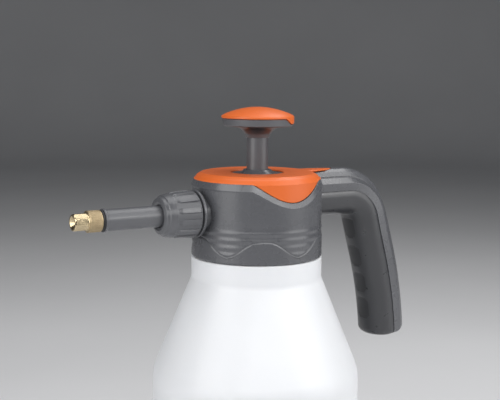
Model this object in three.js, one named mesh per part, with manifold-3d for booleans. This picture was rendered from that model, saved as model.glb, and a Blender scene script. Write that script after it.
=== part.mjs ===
// Hand-held pump sprayer: a blow-moulded bottle, a screw-on head with an air pump, a spray valve worked
// by a thumb lever, a grip, and a short spray tube with an adjustable brass nozzle.
// Millimetres, +Z up. The origin is the centre of the bottle's base, on the pump's axis.
// The nozzle points along -X and the handle stands out along +X.
import * as THREE from 'three';
import { mergeVertices } from 'three/addons/utils/BufferGeometryUtils.js';
import Module from 'manifold-3d';

const wasm = await Module();
wasm.setup();

// ---- driving dimensions -------------------------------------------------------------------------------

const NECK_Z = 188;             // height of the head's lower rim above the bottle's base
const GAP = 0.3;                // room between pieces that touch
const BOTTLE_SIDES = 32;
const FINE = 40;                // sides of the large round pieces
const ROUND = 20;               // sides of the middling ones
const SMALL = 12;               // sides of the small ones

// Bottle. Heights above its base.
const BOTTLE_R = 63;
const BOTTLE_WALL = 2;
const BOTTLE_CONE_TOP = NECK_Z - 13.3;
const BOTTLE_CONE_BOTTOM = NECK_Z - 69.2;
const MOUTH_R = 31;
const NECK_R = 33.5;
const THREAD_R = 35.4;
const FOOT_FILLET = 9;

// Head. From here on heights are above the head's lower rim.
const MOUTH_Z = 16;             // top of the bottle's neck
const HEAD_R = 39.5;
const HEAD_BORE_R = 36.4;
const DECK_BOTTOM = 18.5;
const DECK_TOP = 20.8;
const LIP_R = 38.2;             // where the head's sloping lip meets the cover
const LIP_DROP = 4;
const LOBE_ANGLE = 88;          // the cover hangs down in a lobe on each side, at this angle from the handle
const LOBE_HALF_WIDTH = 38.5;
const LOBE_DEPTH = 11.1;
const COVER_EDGE_Z = 46.6;
const COVER_TOP_Z = 50.2;
const COVER_FLAT_R = 33.6;
const COVER_WALL = 2;
const COVER_HOLE_R = 15.8;
const TONGUE_TIP_X = 56;
const TONGUE_HALF_WIDTH = 6;
const TONGUE_TOP_Z = 50.4;
const TONGUE_THICK = 1.3;

// Bracket on the head for the handle and the lever.
const WINDOW_HALF_WIDTH = 7.4;
const BRACKET_END_X = 56;
const BRACKET_HALF_WIDTH = 8.2;
const BRACKET_BOTTOM = 27;
const BRACKET_TOP = 36.5;
const BRACKET_SCREW_X = 52.5;
const EAR_INNER = 6.8;
const EAR_TOP = 42.8;
const EAR_HALF_LENGTH = 3.4;

// Pump.
const BARREL_R = 14.6;
const BARREL_BORE_R = 13;
const BARREL_TOP = 46.2;
const BARREL_BOTTOM = -74;
const BARREL_FLOOR = 2;
const BARREL_FLANGE_Z = 22.6;
const BARREL_FLANGE_R = 17.2;
const PORT_R = 1.2;
const PORT_CIRCLE_R = 6;
const CHECK_STEM_R = 2;
const ROD_R = 6.5;
const ROD_BORE_R = 4.8;
const PISTON_BOTTOM = -69;
const PISTON_TOP = -61;
const PISTON_R = 12.4;
const PISTON_GROOVE_R = 10.6;
const GROOVE_BOTTOM = PISTON_BOTTOM + 2.6;
const GROOVE_TOP = PISTON_TOP - 2.4;
const GUIDE_HOLE_R = 6.8;
const GUIDE_BOTTOM = 39;
const COLLAR_BOTTOM = 71;       // lower end of the flared collar under the knob
const KNOB_BASE_R = 21.2;
const KNOB_BASE_BOTTOM = 77.7;
const KNOB_SPLIT_Z = 82.5;
const KNOB_R = 21.8;
const KNOB_STEP = 3.2;
const KNOB_STEP_INNER = 51;     // angles from the handle between which the knob's seam steps down
const KNOB_STEP_OUTER = 74;
const KNOB_TOP_Z = 89.1;

// Spray line.
const NOZZLE_Z = 27.7;          // height of the spray tube's axis
const SOCKET_FLANGE_R = 13.9;
const SOCKET_FLANGE_THICK = 2.2;
const SOCKET_NECK_R = 10.4;
const SOCKET_FLANGE_X = 43.6;   // distances of the spray line from the pump's axis, towards the nozzle
const STUB_R = 9.6;
const STUB_END_X = 57;
const NUT_START_X = 44.4;
const NUT_END_X = 67;
const NUT_PADS = 12;
const NUT_PAD_END_X = 59;
const NUT_PAD_WIDTH = 14;       // degrees round the nut
const NUT_PAD_TURN = 17.5;      // angle of the first pad from the top
const TUBE_R = 6.25;
const TUBE_START_X = 47;
const TUBE_END_X = 101.2;
const SPIGOT_END_X = 108;
const NOZZLE_START_X = 102.7;
const KNURL_END_X = 110.5;
const NOZZLE_END_X = 118.7;
const KNURL_R = 6.12;
const NOSE_SIDES = 8;
const NOSE_R = 5;               // to its corners
const NOSE_TURN = 33.3;         // angle of the nose's first corner from the top
const SPIGOT_R = 4.6;
const SPRAY_BORE_R = 2.8;
const ELBOW_X = 27.5;
const ELBOW_R = 3.4;
const BARB_R = 2.2;
const BARB_BORE_R = 1.3;
const BARB_TIP_Y = -10.5;
const HOSE_R = 3.9;
const HOSE_BORE_R = 2.55;
const HOSE_SIDES = 8;

// Valve, between the pump and the handle.
const VALVE_X = 24;
const VALVE_R = 6;
const VALVE_BORE_R = 4.4;
const VALVE_TOP = 36;
const SEAT_Z = 23;
const OUTLET_Z = 29;
const STEM_R = 1.4;
const STEM_TOP = 44.8;
const STEM_HEAD_Z = 43.3;
const DIP_TUBE_R = 3.3;
const DIP_TUBE_BORE_R = 2.3;
const SPIGOT_BOTTOM = 8;
const SPRING_R = 2.7;
const SPRING_WIRE_R = 0.35;
const SPRING_TURNS = 4;
const FILTER_R = 5;
const FILTER_BOTTOM = 4.5 - NECK_Z;
const FILTER_TOP = 20 - NECK_Z;
const FILTER_SLOTS = 3;

// Handle: a centre line that leaves the head level, bends down and runs to the free end.
const HANDLE_Z = 34.9;
const HANDLE_START_X = 30;
const BEND_X = 61.5;
const BEND_R = 22;
const BEND_TURN = THREE.MathUtils.degToRad(74);
const STRAIGHT_LENGTH = 26;
const CURL_R = 260;
const HANDLE_END_Z = -60.5;
const HANDLE_WALL = 2.4;
const HANDLE_END_WALL = 2.6;
const HANDLE_STEPS = 24;
const SHELL_DEPTH = 14.2;
const GRIP_DEPTH = 14.6;
const GRIP_HALF_WIDTH = 14.3;
const SLOT_HALF_WIDTH = 6.9;
const LEVER_HALF_WIDTH = 6.5;
const LEVER_UNDER = 11.4;       // depth of the lever's underside outside the centre line
const LEVER_START_X = 40;
const LEVER_TURN = THREE.MathUtils.degToRad(61);  // how far round the bend the lever ends
const LEVER_END_ROOM = 2.6;
const PIVOT_X = 45;
const PIVOT_Z = 40.8;
const PIN_R = 1.5;
const SCREW_R = 1.5;
const SCREW_HEAD_R = 3.1;
const HANDLE_SCREW_LENGTH = 18;
const BRACKET_SCREW_LENGTH = 10;
const HEAD_SINK = 5;            // how far the screws' heads are sunk into the shell's back
const ROOT_SINK = 3;            // and into the grip's root

const COLOURS = {
  grey: { color: 0x5f6064, roughness: 0.5, metalness: 0 },
  darkGrey: { color: 0x3f4044, roughness: 0.7, metalness: 0 },
  orange: { color: 0xe8682e, roughness: 0.4, metalness: 0 },
  white: { color: 0xe9eaee, roughness: 0.45, metalness: 0 },
  black: { color: 0x1b1b1d, roughness: 0.8, metalness: 0 },
  brass: { color: 0xc9a875, roughness: 0.35, metalness: 1 },
  steel: { color: 0xb5b8bc, roughness: 0.3, metalness: 1 },
};

const sprayer = new THREE.Group();
const head = new THREE.Group();
head.position.z = NECK_Z;
sprayer.add(head);

// ---- making and joining solids ------------------------------------------------------------------------

function signedVolume(position, corners) {
  const [a, b, c] = [new THREE.Vector3(), new THREE.Vector3(), new THREE.Vector3()];
  let volume = 0;
  for (let i = 0; i < corners.length; i += 3) {
    a.fromArray(position, 3 * corners[i]);
    b.fromArray(position, 3 * corners[i + 1]);
    c.fromArray(position, 3 * corners[i + 2]);
    volume += a.dot(b.cross(c)) / 6;
  }
  return volume;
}

// A closed geometry as a solid that can be joined and cut.
function solid(geometry) {
  const bare = geometry.clone();
  bare.deleteAttribute('normal');
  bare.deleteAttribute('uv');
  const merged = mergeVertices(bare, 1e-4);
  const position = merged.attributes.position.array;
  const all = merged.index.array;
  const corners = [];
  for (let i = 0; i < all.length; i += 3) {
    const [a, b, c] = [all[i], all[i + 1], all[i + 2]];
    if (a !== b && b !== c && c !== a) corners.push(a, b, c);
  }
  if (signedVolume(position, corners) < 0) corners.reverse();
  const mesh = new wasm.Mesh({
    numProp: 3,
    vertProperties: new Float32Array(position),
    triVerts: new Uint32Array(corners),
  });
  return new wasm.Manifold(mesh);
}

function addPiece(group, name, piece, look) {
  const data = piece.getMesh();
  const geometry = new THREE.BufferGeometry();
  geometry.setAttribute('position', new THREE.BufferAttribute(new Float32Array(data.vertProperties), 3));
  geometry.setIndex(Array.from(data.triVerts));
  geometry.computeVertexNormals();
  const mesh = new THREE.Mesh(geometry, new THREE.MeshStandardMaterial(COLOURS[look]));
  mesh.name = name;
  group.add(mesh);
}

// A body turned about +Z from [radius, height] points, on the axis at both ends or closed on itself.
// A radius or a height may be a function of the angle from +X.
function turned(outline, sides = ROUND) {
  const flat = outline.map(() => new THREE.Vector2(1, 0));
  const geometry = new THREE.LatheGeometry(flat, sides);
  const position = geometry.attributes.position;
  const value = (number, angle) => (typeof number === 'function' ? number(angle) : number);
  for (let i = 0; i < position.count; i += 1) {
    const turn = (Math.floor(i / outline.length) % sides) * (2 * Math.PI / sides);
    const [radius, height] = outline[i % outline.length];
    const r = value(radius, turn);
    position.setXYZ(i, r * Math.cos(turn), r * Math.sin(turn), value(height, turn));
  }
  return geometry;
}

function rod(radius, from, to, sides = SMALL) {
  return turned([[0, from], [radius, from], [radius, to], [0, to]], sides);
}

function ring(outer, inner, from, to, sides = ROUND) {
  return turned([[inner, from], [outer, from], [outer, to], [inner, to], [inner, from]], sides);
}

function box([x0, y0, z0], [x1, y1, z1]) {
  const geometry = new THREE.BoxGeometry(x1 - x0, y1 - y0, z1 - z0);
  return geometry.translate((x0 + x1) / 2, (y0 + y1) / 2, (z0 + z1) / 2);
}

// Turns a geometry made along +Z to lie along the spray line, where its heights become distances along -X.
function alongNozzle(geometry) {
  return geometry.rotateY(-Math.PI / 2).translate(0, 0, NOZZLE_Z);
}

// Turns a geometry made along +Z to lie along -Y, with its axis at x and z.
function across(geometry, x, z) {
  return geometry.rotateX(Math.PI / 2).translate(x, 0, z);
}

function outlineShape(points) {
  return new THREE.Shape(points.map(([x, y]) => new THREE.Vector2(x, y)));
}

// A plate with an outline of [x, z] points, as thick as twice halfWidth and centred on the XZ plane.
function uprightPlate(points, halfWidth) {
  const settings = { depth: 2 * halfWidth, bevelEnabled: false };
  return new THREE.ExtrudeGeometry(outlineShape(points), settings)
    .rotateX(Math.PI / 2)
    .translate(0, halfWidth, 0);
}

// ---- the handle's centre line -------------------------------------------------------------------------

const LEVEL_LENGTH = BEND_X - HANDLE_START_X;
const BEND_LENGTH = BEND_R * BEND_TURN;
const STRAIGHT_START = LEVEL_LENGTH + BEND_LENGTH;
const CURL_START = STRAIGHT_START + STRAIGHT_LENGTH;

const bendEnd = new THREE.Vector2(
  BEND_X + BEND_R * Math.sin(BEND_TURN),
  HANDLE_Z - BEND_R * (1 - Math.cos(BEND_TURN)),
);
const curlStart = new THREE.Vector2(
  bendEnd.x + STRAIGHT_LENGTH * Math.cos(BEND_TURN),
  bendEnd.y - STRAIGHT_LENGTH * Math.sin(BEND_TURN),
);
const curlCentre = new THREE.Vector2(
  curlStart.x - CURL_R * Math.sin(BEND_TURN),
  curlStart.y - CURL_R * Math.cos(BEND_TURN),
);
const curlTurn = Math.acos((HANDLE_END_Z - curlCentre.y) / CURL_R) - BEND_TURN;
const HANDLE_LENGTH = CURL_START + CURL_R * curlTurn;
const LEVER_END = LEVEL_LENGTH + BEND_R * LEVER_TURN;
const SCREW_PLACES = [CURL_START - 14, HANDLE_LENGTH - 18];

// Angle of the centre line below the level, at a distance along it.
function handleSlope(s) {
  if (s < LEVEL_LENGTH) return 0;
  if (s < STRAIGHT_START) return (s - LEVEL_LENGTH) / BEND_R;
  if (s < CURL_START) return BEND_TURN;
  return BEND_TURN + (s - CURL_START) / CURL_R;
}

function handlePoint(s) {
  const slope = handleSlope(s);
  if (s < LEVEL_LENGTH) return new THREE.Vector3(HANDLE_START_X + s, 0, HANDLE_Z);
  if (s < STRAIGHT_START) {
    return new THREE.Vector3(BEND_X + BEND_R * Math.sin(slope), 0, HANDLE_Z - BEND_R * (1 - Math.cos(slope)));
  }
  if (s < CURL_START) {
    const along = s - STRAIGHT_START;
    return new THREE.Vector3(bendEnd.x + along * Math.cos(slope), 0, bendEnd.y - along * Math.sin(slope));
  }
  return new THREE.Vector3(
    curlCentre.x + CURL_R * Math.sin(slope),
    0,
    curlCentre.y + CURL_R * Math.cos(slope),
  );
}

class HandleLine extends THREE.Curve {
  constructor(from, to) {
    super();
    this.from = from;
    this.to = to;
  }

  getPoint(t) {
    return handlePoint(this.from + (this.to - this.from) * t);
  }

  // Keeps a section upright: its x runs across the handle's depth and its y along +Y.
  computeFrenetFrames(segments) {
    const frames = { tangents: [], normals: [], binormals: [] };
    for (let i = 0; i <= segments; i += 1) {
      const slope = handleSlope(this.from + (this.to - this.from) * (i / segments));
      frames.tangents.push(new THREE.Vector3(Math.cos(slope), 0, -Math.sin(slope)));
      frames.normals.push(new THREE.Vector3(-Math.sin(slope), 0, -Math.cos(slope)));
      frames.binormals.push(new THREE.Vector3(0, 1, 0));
    }
    return frames;
  }
}

// A section of [depth, across] points swept along part of the centre line. Depth grows towards the
// bottle's side of the handle and is 0 on the parting line of its two shells.
function alongHandle(section, from, to, steps) {
  const extrudePath = new HandleLine(from, to);
  return new THREE.ExtrudeGeometry(outlineShape(section), { steps, extrudePath, bevelEnabled: false });
}

// Puts a geometry made along +Z across the handle: its height becomes the depth at distance s.
function acrossHandle(geometry, s) {
  const { x, z } = handlePoint(s);
  return geometry.rotateY(Math.PI + handleSlope(s)).translate(x, 0, z);
}

function mirrored(points) {
  const other = points.slice(0, -1).reverse().map(([depth, across]) => [depth, -across]);
  return [...points, ...other];
}

function shrunk(points, wall) {
  const scale = 1 - wall / points[0][1];
  return points.map(([depth, across], i) => [i === 0 ? depth : depth * scale, across * scale]);
}

// ---- bottle -------------------------------------------------------------------------------------------

function bottle() {
  const foot = [];
  for (let i = 0; i <= 3; i += 1) {
    const angle = (i / 3) * (Math.PI / 2);
    foot.push([
      BOTTLE_R - FOOT_FILLET * (1 - Math.sin(angle)),
      FOOT_FILLET * (1 - Math.cos(angle)),
    ]);
  }
  const outside = [
    [0, 0],
    ...foot,
    [BOTTLE_R, BOTTLE_CONE_BOTTOM - 5],
    [BOTTLE_R - 0.6, BOTTLE_CONE_BOTTOM],
    [BOTTLE_R - 3, BOTTLE_CONE_BOTTOM + 6],
    [HEAD_R, BOTTLE_CONE_TOP],
    [HEAD_R, NECK_Z - GAP],
    [NECK_R, NECK_Z - GAP],
    [NECK_R, NECK_Z + 3],
    [THREAD_R, NECK_Z + 5],
    [THREAD_R, NECK_Z + 9],
    [NECK_R, NECK_Z + 11],
    [NECK_R, NECK_Z + MOUTH_Z],
  ];
  const inside = [
    [MOUTH_R, NECK_Z + MOUTH_Z],
    [MOUTH_R, NECK_Z - 3],
    [HEAD_R - BOTTLE_WALL, BOTTLE_CONE_TOP - 4],
    [BOTTLE_R - 3 - BOTTLE_WALL, BOTTLE_CONE_BOTTOM + 5],
    [BOTTLE_R - BOTTLE_WALL, BOTTLE_CONE_BOTTOM - 5],
    [BOTTLE_R - BOTTLE_WALL, FOOT_FILLET],
    [BOTTLE_R - FOOT_FILLET, BOTTLE_WALL],
    [0, BOTTLE_WALL],
  ];
  return solid(turned([...outside, ...inside], BOTTLE_SIDES));
}

// ---- head and cover -----------------------------------------------------------------------------------

// Height of the seam between the cover and the head, which dips in a lobe on each side.
function seamHeight(angle) {
  const fromHandle = Math.abs(THREE.MathUtils.radToDeg(Math.atan2(Math.sin(angle), Math.cos(angle))));
  const offset = Math.min(Math.abs(fromHandle - LOBE_ANGLE) / LOBE_HALF_WIDTH, 1);
  return COVER_EDGE_Z - LOBE_DEPTH * Math.max(Math.cos(offset * Math.PI / 2), 0) ** 1.15;
}

// Bracket on the head that carries the handle and, between two ears, the lever's pin.
function handleBracket() {
  const inside = HEAD_BORE_R - 0.8;
  const beam = solid(box(
    [inside, -BRACKET_HALF_WIDTH, BRACKET_BOTTOM],
    [BRACKET_END_X, BRACKET_HALF_WIDTH, BRACKET_TOP],
  ));
  let bracket = beam;
  for (const side of [-1, 1]) {
    const [a, b] = [side * EAR_INNER, side * BRACKET_HALF_WIDTH];
    bracket = bracket.add(solid(box(
      [PIVOT_X - EAR_HALF_LENGTH, Math.min(a, b), BRACKET_TOP - 1],
      [PIVOT_X + EAR_HALF_LENGTH, Math.max(a, b), EAR_TOP],
    )));
  }
  return bracket;
}

function headHousing() {
  const edge = (angle) => seamHeight(angle) - GAP;
  const wall = solid(turned([
    [HEAD_R - 0.6, 0],
    [HEAD_R, 0.6],
    [HEAD_R, (angle) => seamHeight(angle) - LIP_DROP],
    [LIP_R, edge],
    [HEAD_BORE_R, edge],
    [HEAD_BORE_R, 0],
    [HEAD_R - 0.6, 0],
  ], FINE));
  const deck = solid(rod(HEAD_BORE_R + 0.5, DECK_BOTTOM, DECK_TOP, FINE));
  const window = solid(box(
    [HEAD_BORE_R - 2, -WINDOW_HALF_WIDTH, BRACKET_TOP + 0.5],
    [HEAD_R + 1, WINDOW_HALF_WIDTH, COVER_TOP_Z],
  ));
  const barrelHole = solid(rod(BARREL_R + 0.4, DECK_BOTTOM - 1, DECK_TOP + 1, ROUND));
  const valveHole = solid(rod(4.5, DECK_BOTTOM - 1, DECK_TOP + 1).translate(VALVE_X, 0, 0));
  const socketHole = solid(alongNozzle(rod(SOCKET_NECK_R + GAP, HEAD_BORE_R - 4, HEAD_R + 2, ROUND)));
  const screwHole = solid(rod(SCREW_R + 0.15, BRACKET_BOTTOM - 1, BRACKET_TOP - 1.5)
    .translate(BRACKET_SCREW_X, 0, 0));
  const pinHole = solid(across(rod(PIN_R + 0.05, -12, 12), PIVOT_X, PIVOT_Z));
  return wall.add(deck).add(handleBracket())
    .subtract(window).subtract(barrelHole).subtract(valveHole)
    .subtract(socketHole).subtract(screwHole).subtract(pinHole);
}

// Pointed tongue of the cover, which lies on the root of the lever.
function tongueOutline(margin) {
  const half = TONGUE_HALF_WIDTH + margin;
  const waist = 2.6 + margin;
  const waistX = TONGUE_TIP_X - 5 + margin;
  return [
    [COVER_FLAT_R - 2, -half],
    [LIP_R + 2, -half],
    [waistX, -waist],
    [TONGUE_TIP_X + margin, 0],
    [waistX, waist],
    [LIP_R + 2, half],
    [COVER_FLAT_R - 2, half],
  ];
}

function tongue(margin, bottom, top) {
  const geometry = new THREE.ExtrudeGeometry(
    outlineShape(tongueOutline(margin)),
    { depth: top - bottom, bevelEnabled: false },
  );
  return solid(geometry.translate(0, 0, bottom));
}

function topCover() {
  const inner = LIP_R - COVER_WALL;
  const under = COVER_TOP_Z - COVER_WALL;
  const shell = solid(turned([
    [COVER_HOLE_R, COVER_TOP_Z],
    [COVER_FLAT_R, COVER_TOP_Z],
    [COVER_FLAT_R + 2.4, COVER_TOP_Z - 1.2],
    [LIP_R, COVER_EDGE_Z],
    [LIP_R, seamHeight],
    [inner, seamHeight],
    [inner, COVER_EDGE_Z],
    [COVER_FLAT_R, under],
    [COVER_HOLE_R, under],
    [COVER_HOLE_R, COVER_TOP_Z],
  ], FINE));
  const notch = solid(box(
    [inner - 3, -WINDOW_HALF_WIDTH, HANDLE_Z],
    [LIP_R + 2, WINDOW_HALF_WIDTH, 47.6],
  ));
  return shell.subtract(notch).add(tongue(0, TONGUE_TOP_Z - TONGUE_THICK, TONGUE_TOP_Z));
}

const gasket = () => solid(ring(NECK_R, MOUTH_R + 0.4, MOUTH_Z + GAP, DECK_BOTTOM - GAP, BOTTLE_SIDES));

// ---- pump ---------------------------------------------------------------------------------------------

function pumpBarrel() {
  const floorTop = BARREL_BOTTOM + BARREL_FLOOR;
  let barrel = solid(turned([
    [CHECK_STEM_R + GAP, BARREL_BOTTOM],
    [BARREL_R, BARREL_BOTTOM],
    [BARREL_R, BARREL_FLANGE_Z],
    [BARREL_FLANGE_R, BARREL_FLANGE_Z],
    [BARREL_FLANGE_R, BARREL_FLANGE_Z + 2],
    [BARREL_R, BARREL_FLANGE_Z + 2],
    [BARREL_R, BARREL_TOP],
    [BARREL_BORE_R, BARREL_TOP],
    [BARREL_BORE_R, floorTop],
    [CHECK_STEM_R + GAP, floorTop],
    [CHECK_STEM_R + GAP, BARREL_BOTTOM],
  ]));
  for (let i = 0; i < 4; i += 1) {
    const port = rod(PORT_R, BARREL_BOTTOM - 1, floorTop + 1, 10)
      .translate(PORT_CIRCLE_R, 0, 0)
      .rotateZ((i + 0.5) * (Math.PI / 2));
    barrel = barrel.subtract(solid(port));
  }
  return barrel;
}

const barrelSeal = () => solid(ring(BARREL_R + 2.2, BARREL_R + GAP, DECK_TOP + GAP, BARREL_FLANGE_Z - GAP));

// Rubber mushroom that lets air out of the barrel's floor and not back in.
function barrelCheckValve() {
  const under = BARREL_BOTTOM - GAP;
  const above = BARREL_BOTTOM + BARREL_FLOOR + GAP;
  return solid(turned([
    [0, under - 2.2],
    [4, under - 2],
    [8.6, under - 0.8],
    [8.6, under],
    [CHECK_STEM_R, under],
    [CHECK_STEM_R, above],
    [CHECK_STEM_R + 0.8, above],
    [0, above + 1.8],
  ], SMALL));
}

function pumpGuideCap() {
  const flangeTop = COVER_TOP_Z - 0.6;
  return solid(turned([
    [GUIDE_HOLE_R, GUIDE_BOTTOM],
    [BARREL_BORE_R - 0.2, GUIDE_BOTTOM],
    [BARREL_BORE_R - 0.2, BARREL_TOP + GAP],
    [COVER_HOLE_R - GAP, BARREL_TOP + GAP],
    [COVER_HOLE_R - GAP, flangeTop],
    [10.4, flangeTop],
    [8.6, flangeTop + 1.2],
    [8, flangeTop + 2.2],
    [GUIDE_HOLE_R, flangeTop + 2.2],
    [GUIDE_HOLE_R, GUIDE_BOTTOM],
  ]));
}

const pistonHead = () => solid(turned([
  [0, PISTON_BOTTOM],
  [PISTON_R, PISTON_BOTTOM],
  [PISTON_R, GROOVE_BOTTOM],
  [PISTON_GROOVE_R, GROOVE_BOTTOM],
  [PISTON_GROOVE_R, GROOVE_TOP],
  [PISTON_R, GROOVE_TOP],
  [PISTON_R, PISTON_TOP],
  [ROD_BORE_R - GAP, PISTON_TOP],
  [ROD_BORE_R - GAP, PISTON_TOP + 9],
  [0, PISTON_TOP + 9],
]));

const pistonSeal = () => solid(turned([
  [PISTON_GROOVE_R + 0.2, GROOVE_BOTTOM + 0.2],
  [BARREL_BORE_R - 0.15, GROOVE_BOTTOM + 0.2],
  [BARREL_BORE_R - 0.6, GROOVE_TOP - 0.2],
  [PISTON_GROOVE_R + 0.2, GROOVE_TOP - 0.2],
  [PISTON_GROOVE_R + 0.2, GROOVE_BOTTOM + 0.2],
]));

const pumpRod = () => solid(ring(ROD_R, ROD_BORE_R, PISTON_TOP + GAP, KNOB_SPLIT_Z - 1.6));

// Height of the seam between the knob's cap and its base, which steps down over the handle's side.
function knobSeam(angle) {
  const fromHandle = Math.abs(THREE.MathUtils.radToDeg(Math.atan2(Math.sin(angle), Math.cos(angle))));
  const share = (KNOB_STEP_OUTER - fromHandle) / (KNOB_STEP_OUTER - KNOB_STEP_INNER);
  return KNOB_SPLIT_Z - KNOB_STEP * THREE.MathUtils.clamp(share, 0, 1);
}

// Grey disc under the knob, flared down to a collar round the rod.
function knobBase() {
  const bore = ROD_R + 0.1;
  return solid(turned([
    [bore, COLLAR_BOTTOM],
    [bore + 0.5, COLLAR_BOTTOM],
    [7.7, COLLAR_BOTTOM + 2],
    [9.6, COLLAR_BOTTOM + 4.4],
    [13.5, KNOB_BASE_BOTTOM],
    [KNOB_BASE_R - 1.4, KNOB_BASE_BOTTOM],
    [KNOB_BASE_R - 0.4, KNOB_BASE_BOTTOM + 1],
    [KNOB_BASE_R, (angle) => knobSeam(angle) - GAP],
    [KNOB_BASE_R - 4, (angle) => knobSeam(angle) - GAP],
    [KNOB_BASE_R - 6, KNOB_SPLIT_Z - GAP],
    [bore, KNOB_SPLIT_Z - GAP],
    [bore, COLLAR_BOTTOM],
  ], FINE));
}

// Orange knob cap: a shallow dome with a rim, hollow underneath.
function knobCap() {
  const rimTop = KNOB_SPLIT_Z + 1.4;
  const dome = [];
  const steps = 4;
  for (let i = 0; i <= steps; i += 1) {
    const r = KNOB_R * (1 - i / steps);
    dome.push([r, KNOB_TOP_Z - (KNOB_TOP_Z - rimTop) * (r / KNOB_R) ** 2]);
  }
  return solid(turned([
    [0, KNOB_TOP_Z - 2.5],
    [KNOB_R * 0.6, rimTop + 0.9],
    [KNOB_R - 2, rimTop - 0.9],
    [KNOB_R - 2, knobSeam],
    [KNOB_R, knobSeam],
    ...dome,
  ], FINE));
}

// ---- spray line ---------------------------------------------------------------------------------------

// Flanged socket in the head's wall. Outside it has the nut's stub, and inside an elbow for the hose.
function sprayTubeSocket() {
  const inner = HEAD_BORE_R - 0.2;
  const flangeBack = SOCKET_FLANGE_X - SOCKET_FLANGE_THICK;
  const body = solid(alongNozzle(turned([
    [0, inner],
    [SOCKET_NECK_R, inner],
    [SOCKET_NECK_R, flangeBack],
    [SOCKET_FLANGE_R, flangeBack],
    [SOCKET_FLANGE_R, SOCKET_FLANGE_X],
    [STUB_R, SOCKET_FLANGE_X],
    [STUB_R, STUB_END_X],
    [TUBE_R + GAP, STUB_END_X],
    [TUBE_R + GAP, TUBE_START_X - 1],
    [0, TUBE_START_X - 1],
  ])));
  const inlet = solid(alongNozzle(rod(ELBOW_R, ELBOW_X, inner + 1, SMALL)));
  const elbow = solid(across(rod(ELBOW_R, -4, ELBOW_R), -ELBOW_X, NOZZLE_Z));
  const barb = solid(across(rod(BARB_R, 0, -BARB_TIP_Y), -ELBOW_X, NOZZLE_Z));
  const bore = solid(alongNozzle(rod(1.8, ELBOW_X - 0.5, TUBE_START_X, 10)));
  const barbBore = solid(across(rod(BARB_BORE_R, 0, 1 - BARB_TIP_Y, 10), -ELBOW_X, NOZZLE_Z));
  return body.add(inlet).add(elbow).add(barb).subtract(bore).subtract(barbBore);
}

// Union nut with wide grip pads, which clamps the spray tube and its seal.
function unionNut() {
  const padStart = NUT_START_X + 0.6;
  const seat = NUT_PAD_END_X + 1;
  const core = solid(alongNozzle(turned([
    [STUB_R + 0.4, NUT_START_X],
    [13.05, NUT_START_X],
    [12.55, NUT_PAD_END_X],
    [13.1, NUT_PAD_END_X],
    [12.3, 62.5],
    [11.7, 64.3],
    [9.6, NUT_END_X],
    [TUBE_R + GAP, NUT_END_X],
    [TUBE_R + GAP, seat],
    [STUB_R + 0.4, seat],
    [STUB_R + 0.4, NUT_START_X],
  ], FINE)));
  const star = [];
  const pitch = 360 / NUT_PADS;
  for (let i = 0; i < NUT_PADS; i += 1) {
    const middle = NUT_PAD_TURN + i * pitch;
    for (const [turn, r] of [[-pitch / 2, 12], [-NUT_PAD_WIDTH / 2, 12], [-NUT_PAD_WIDTH / 2, 14.5],
      [NUT_PAD_WIDTH / 2, 14.5], [NUT_PAD_WIDTH / 2, 12]]) {
      const angle = THREE.MathUtils.degToRad(middle + turn);
      star.push([r * Math.cos(angle), r * Math.sin(angle)]);
    }
  }
  const pads = new THREE.ExtrudeGeometry(
    outlineShape(star),
    { depth: NUT_PAD_END_X - padStart, bevelEnabled: false },
  ).translate(0, 0, padStart);
  const taper = turned([
    [12, padStart], [14, padStart], [13.2, NUT_PAD_END_X], [12, NUT_PAD_END_X], [12, padStart],
  ], FINE);
  return core.add(solid(alongNozzle(pads)).intersect(solid(alongNozzle(taper))));
}

const tubeSeal = () => solid(alongNozzle(
  ring(STUB_R - 0.2, TUBE_R + 0.15, STUB_END_X + GAP, NUT_PAD_END_X + 1 - GAP),
));

const sprayTube = () => solid(alongNozzle(turned([
  [SPRAY_BORE_R, TUBE_START_X],
  [TUBE_R, TUBE_START_X],
  [TUBE_R, TUBE_END_X - 1.6],
  [TUBE_R + 0.4, TUBE_END_X - 1.2],
  [TUBE_R + 0.4, TUBE_END_X],
  [SPIGOT_R, TUBE_END_X],
  [SPIGOT_R, SPIGOT_END_X],
  [SPRAY_BORE_R, SPIGOT_END_X],
  [SPRAY_BORE_R, TUBE_START_X],
], SMALL)));

const nozzleSeal = () => solid(alongNozzle(
  ring(TUBE_R - 0.1, SPIGOT_R + 0.15, TUBE_END_X + 0.2, NOZZLE_START_X - 0.2, SMALL),
));

// Swirl core that sits in the spray tube's end, with a flat on each side for the liquid.
function nozzleInsert() {
  const core = solid(alongNozzle(turned([
    [0, 97],
    [SPRAY_BORE_R - 0.2, 97],
    [SPRAY_BORE_R - 0.2, SPIGOT_END_X],
    [1.6, KNURL_END_X + 0.8],
    [0, KNURL_END_X + 0.8],
  ], SMALL)));
  const flats = [-1, 1].map((side) => solid(box(
    [-SPIGOT_END_X - 1, side > 0 ? 1.9 : -4, NOZZLE_Z - 4],
    [-96, side > 0 ? 4 : -1.9, NOZZLE_Z + 4],
  )));
  return core.subtract(flats[0]).subtract(flats[1]);
}

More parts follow.
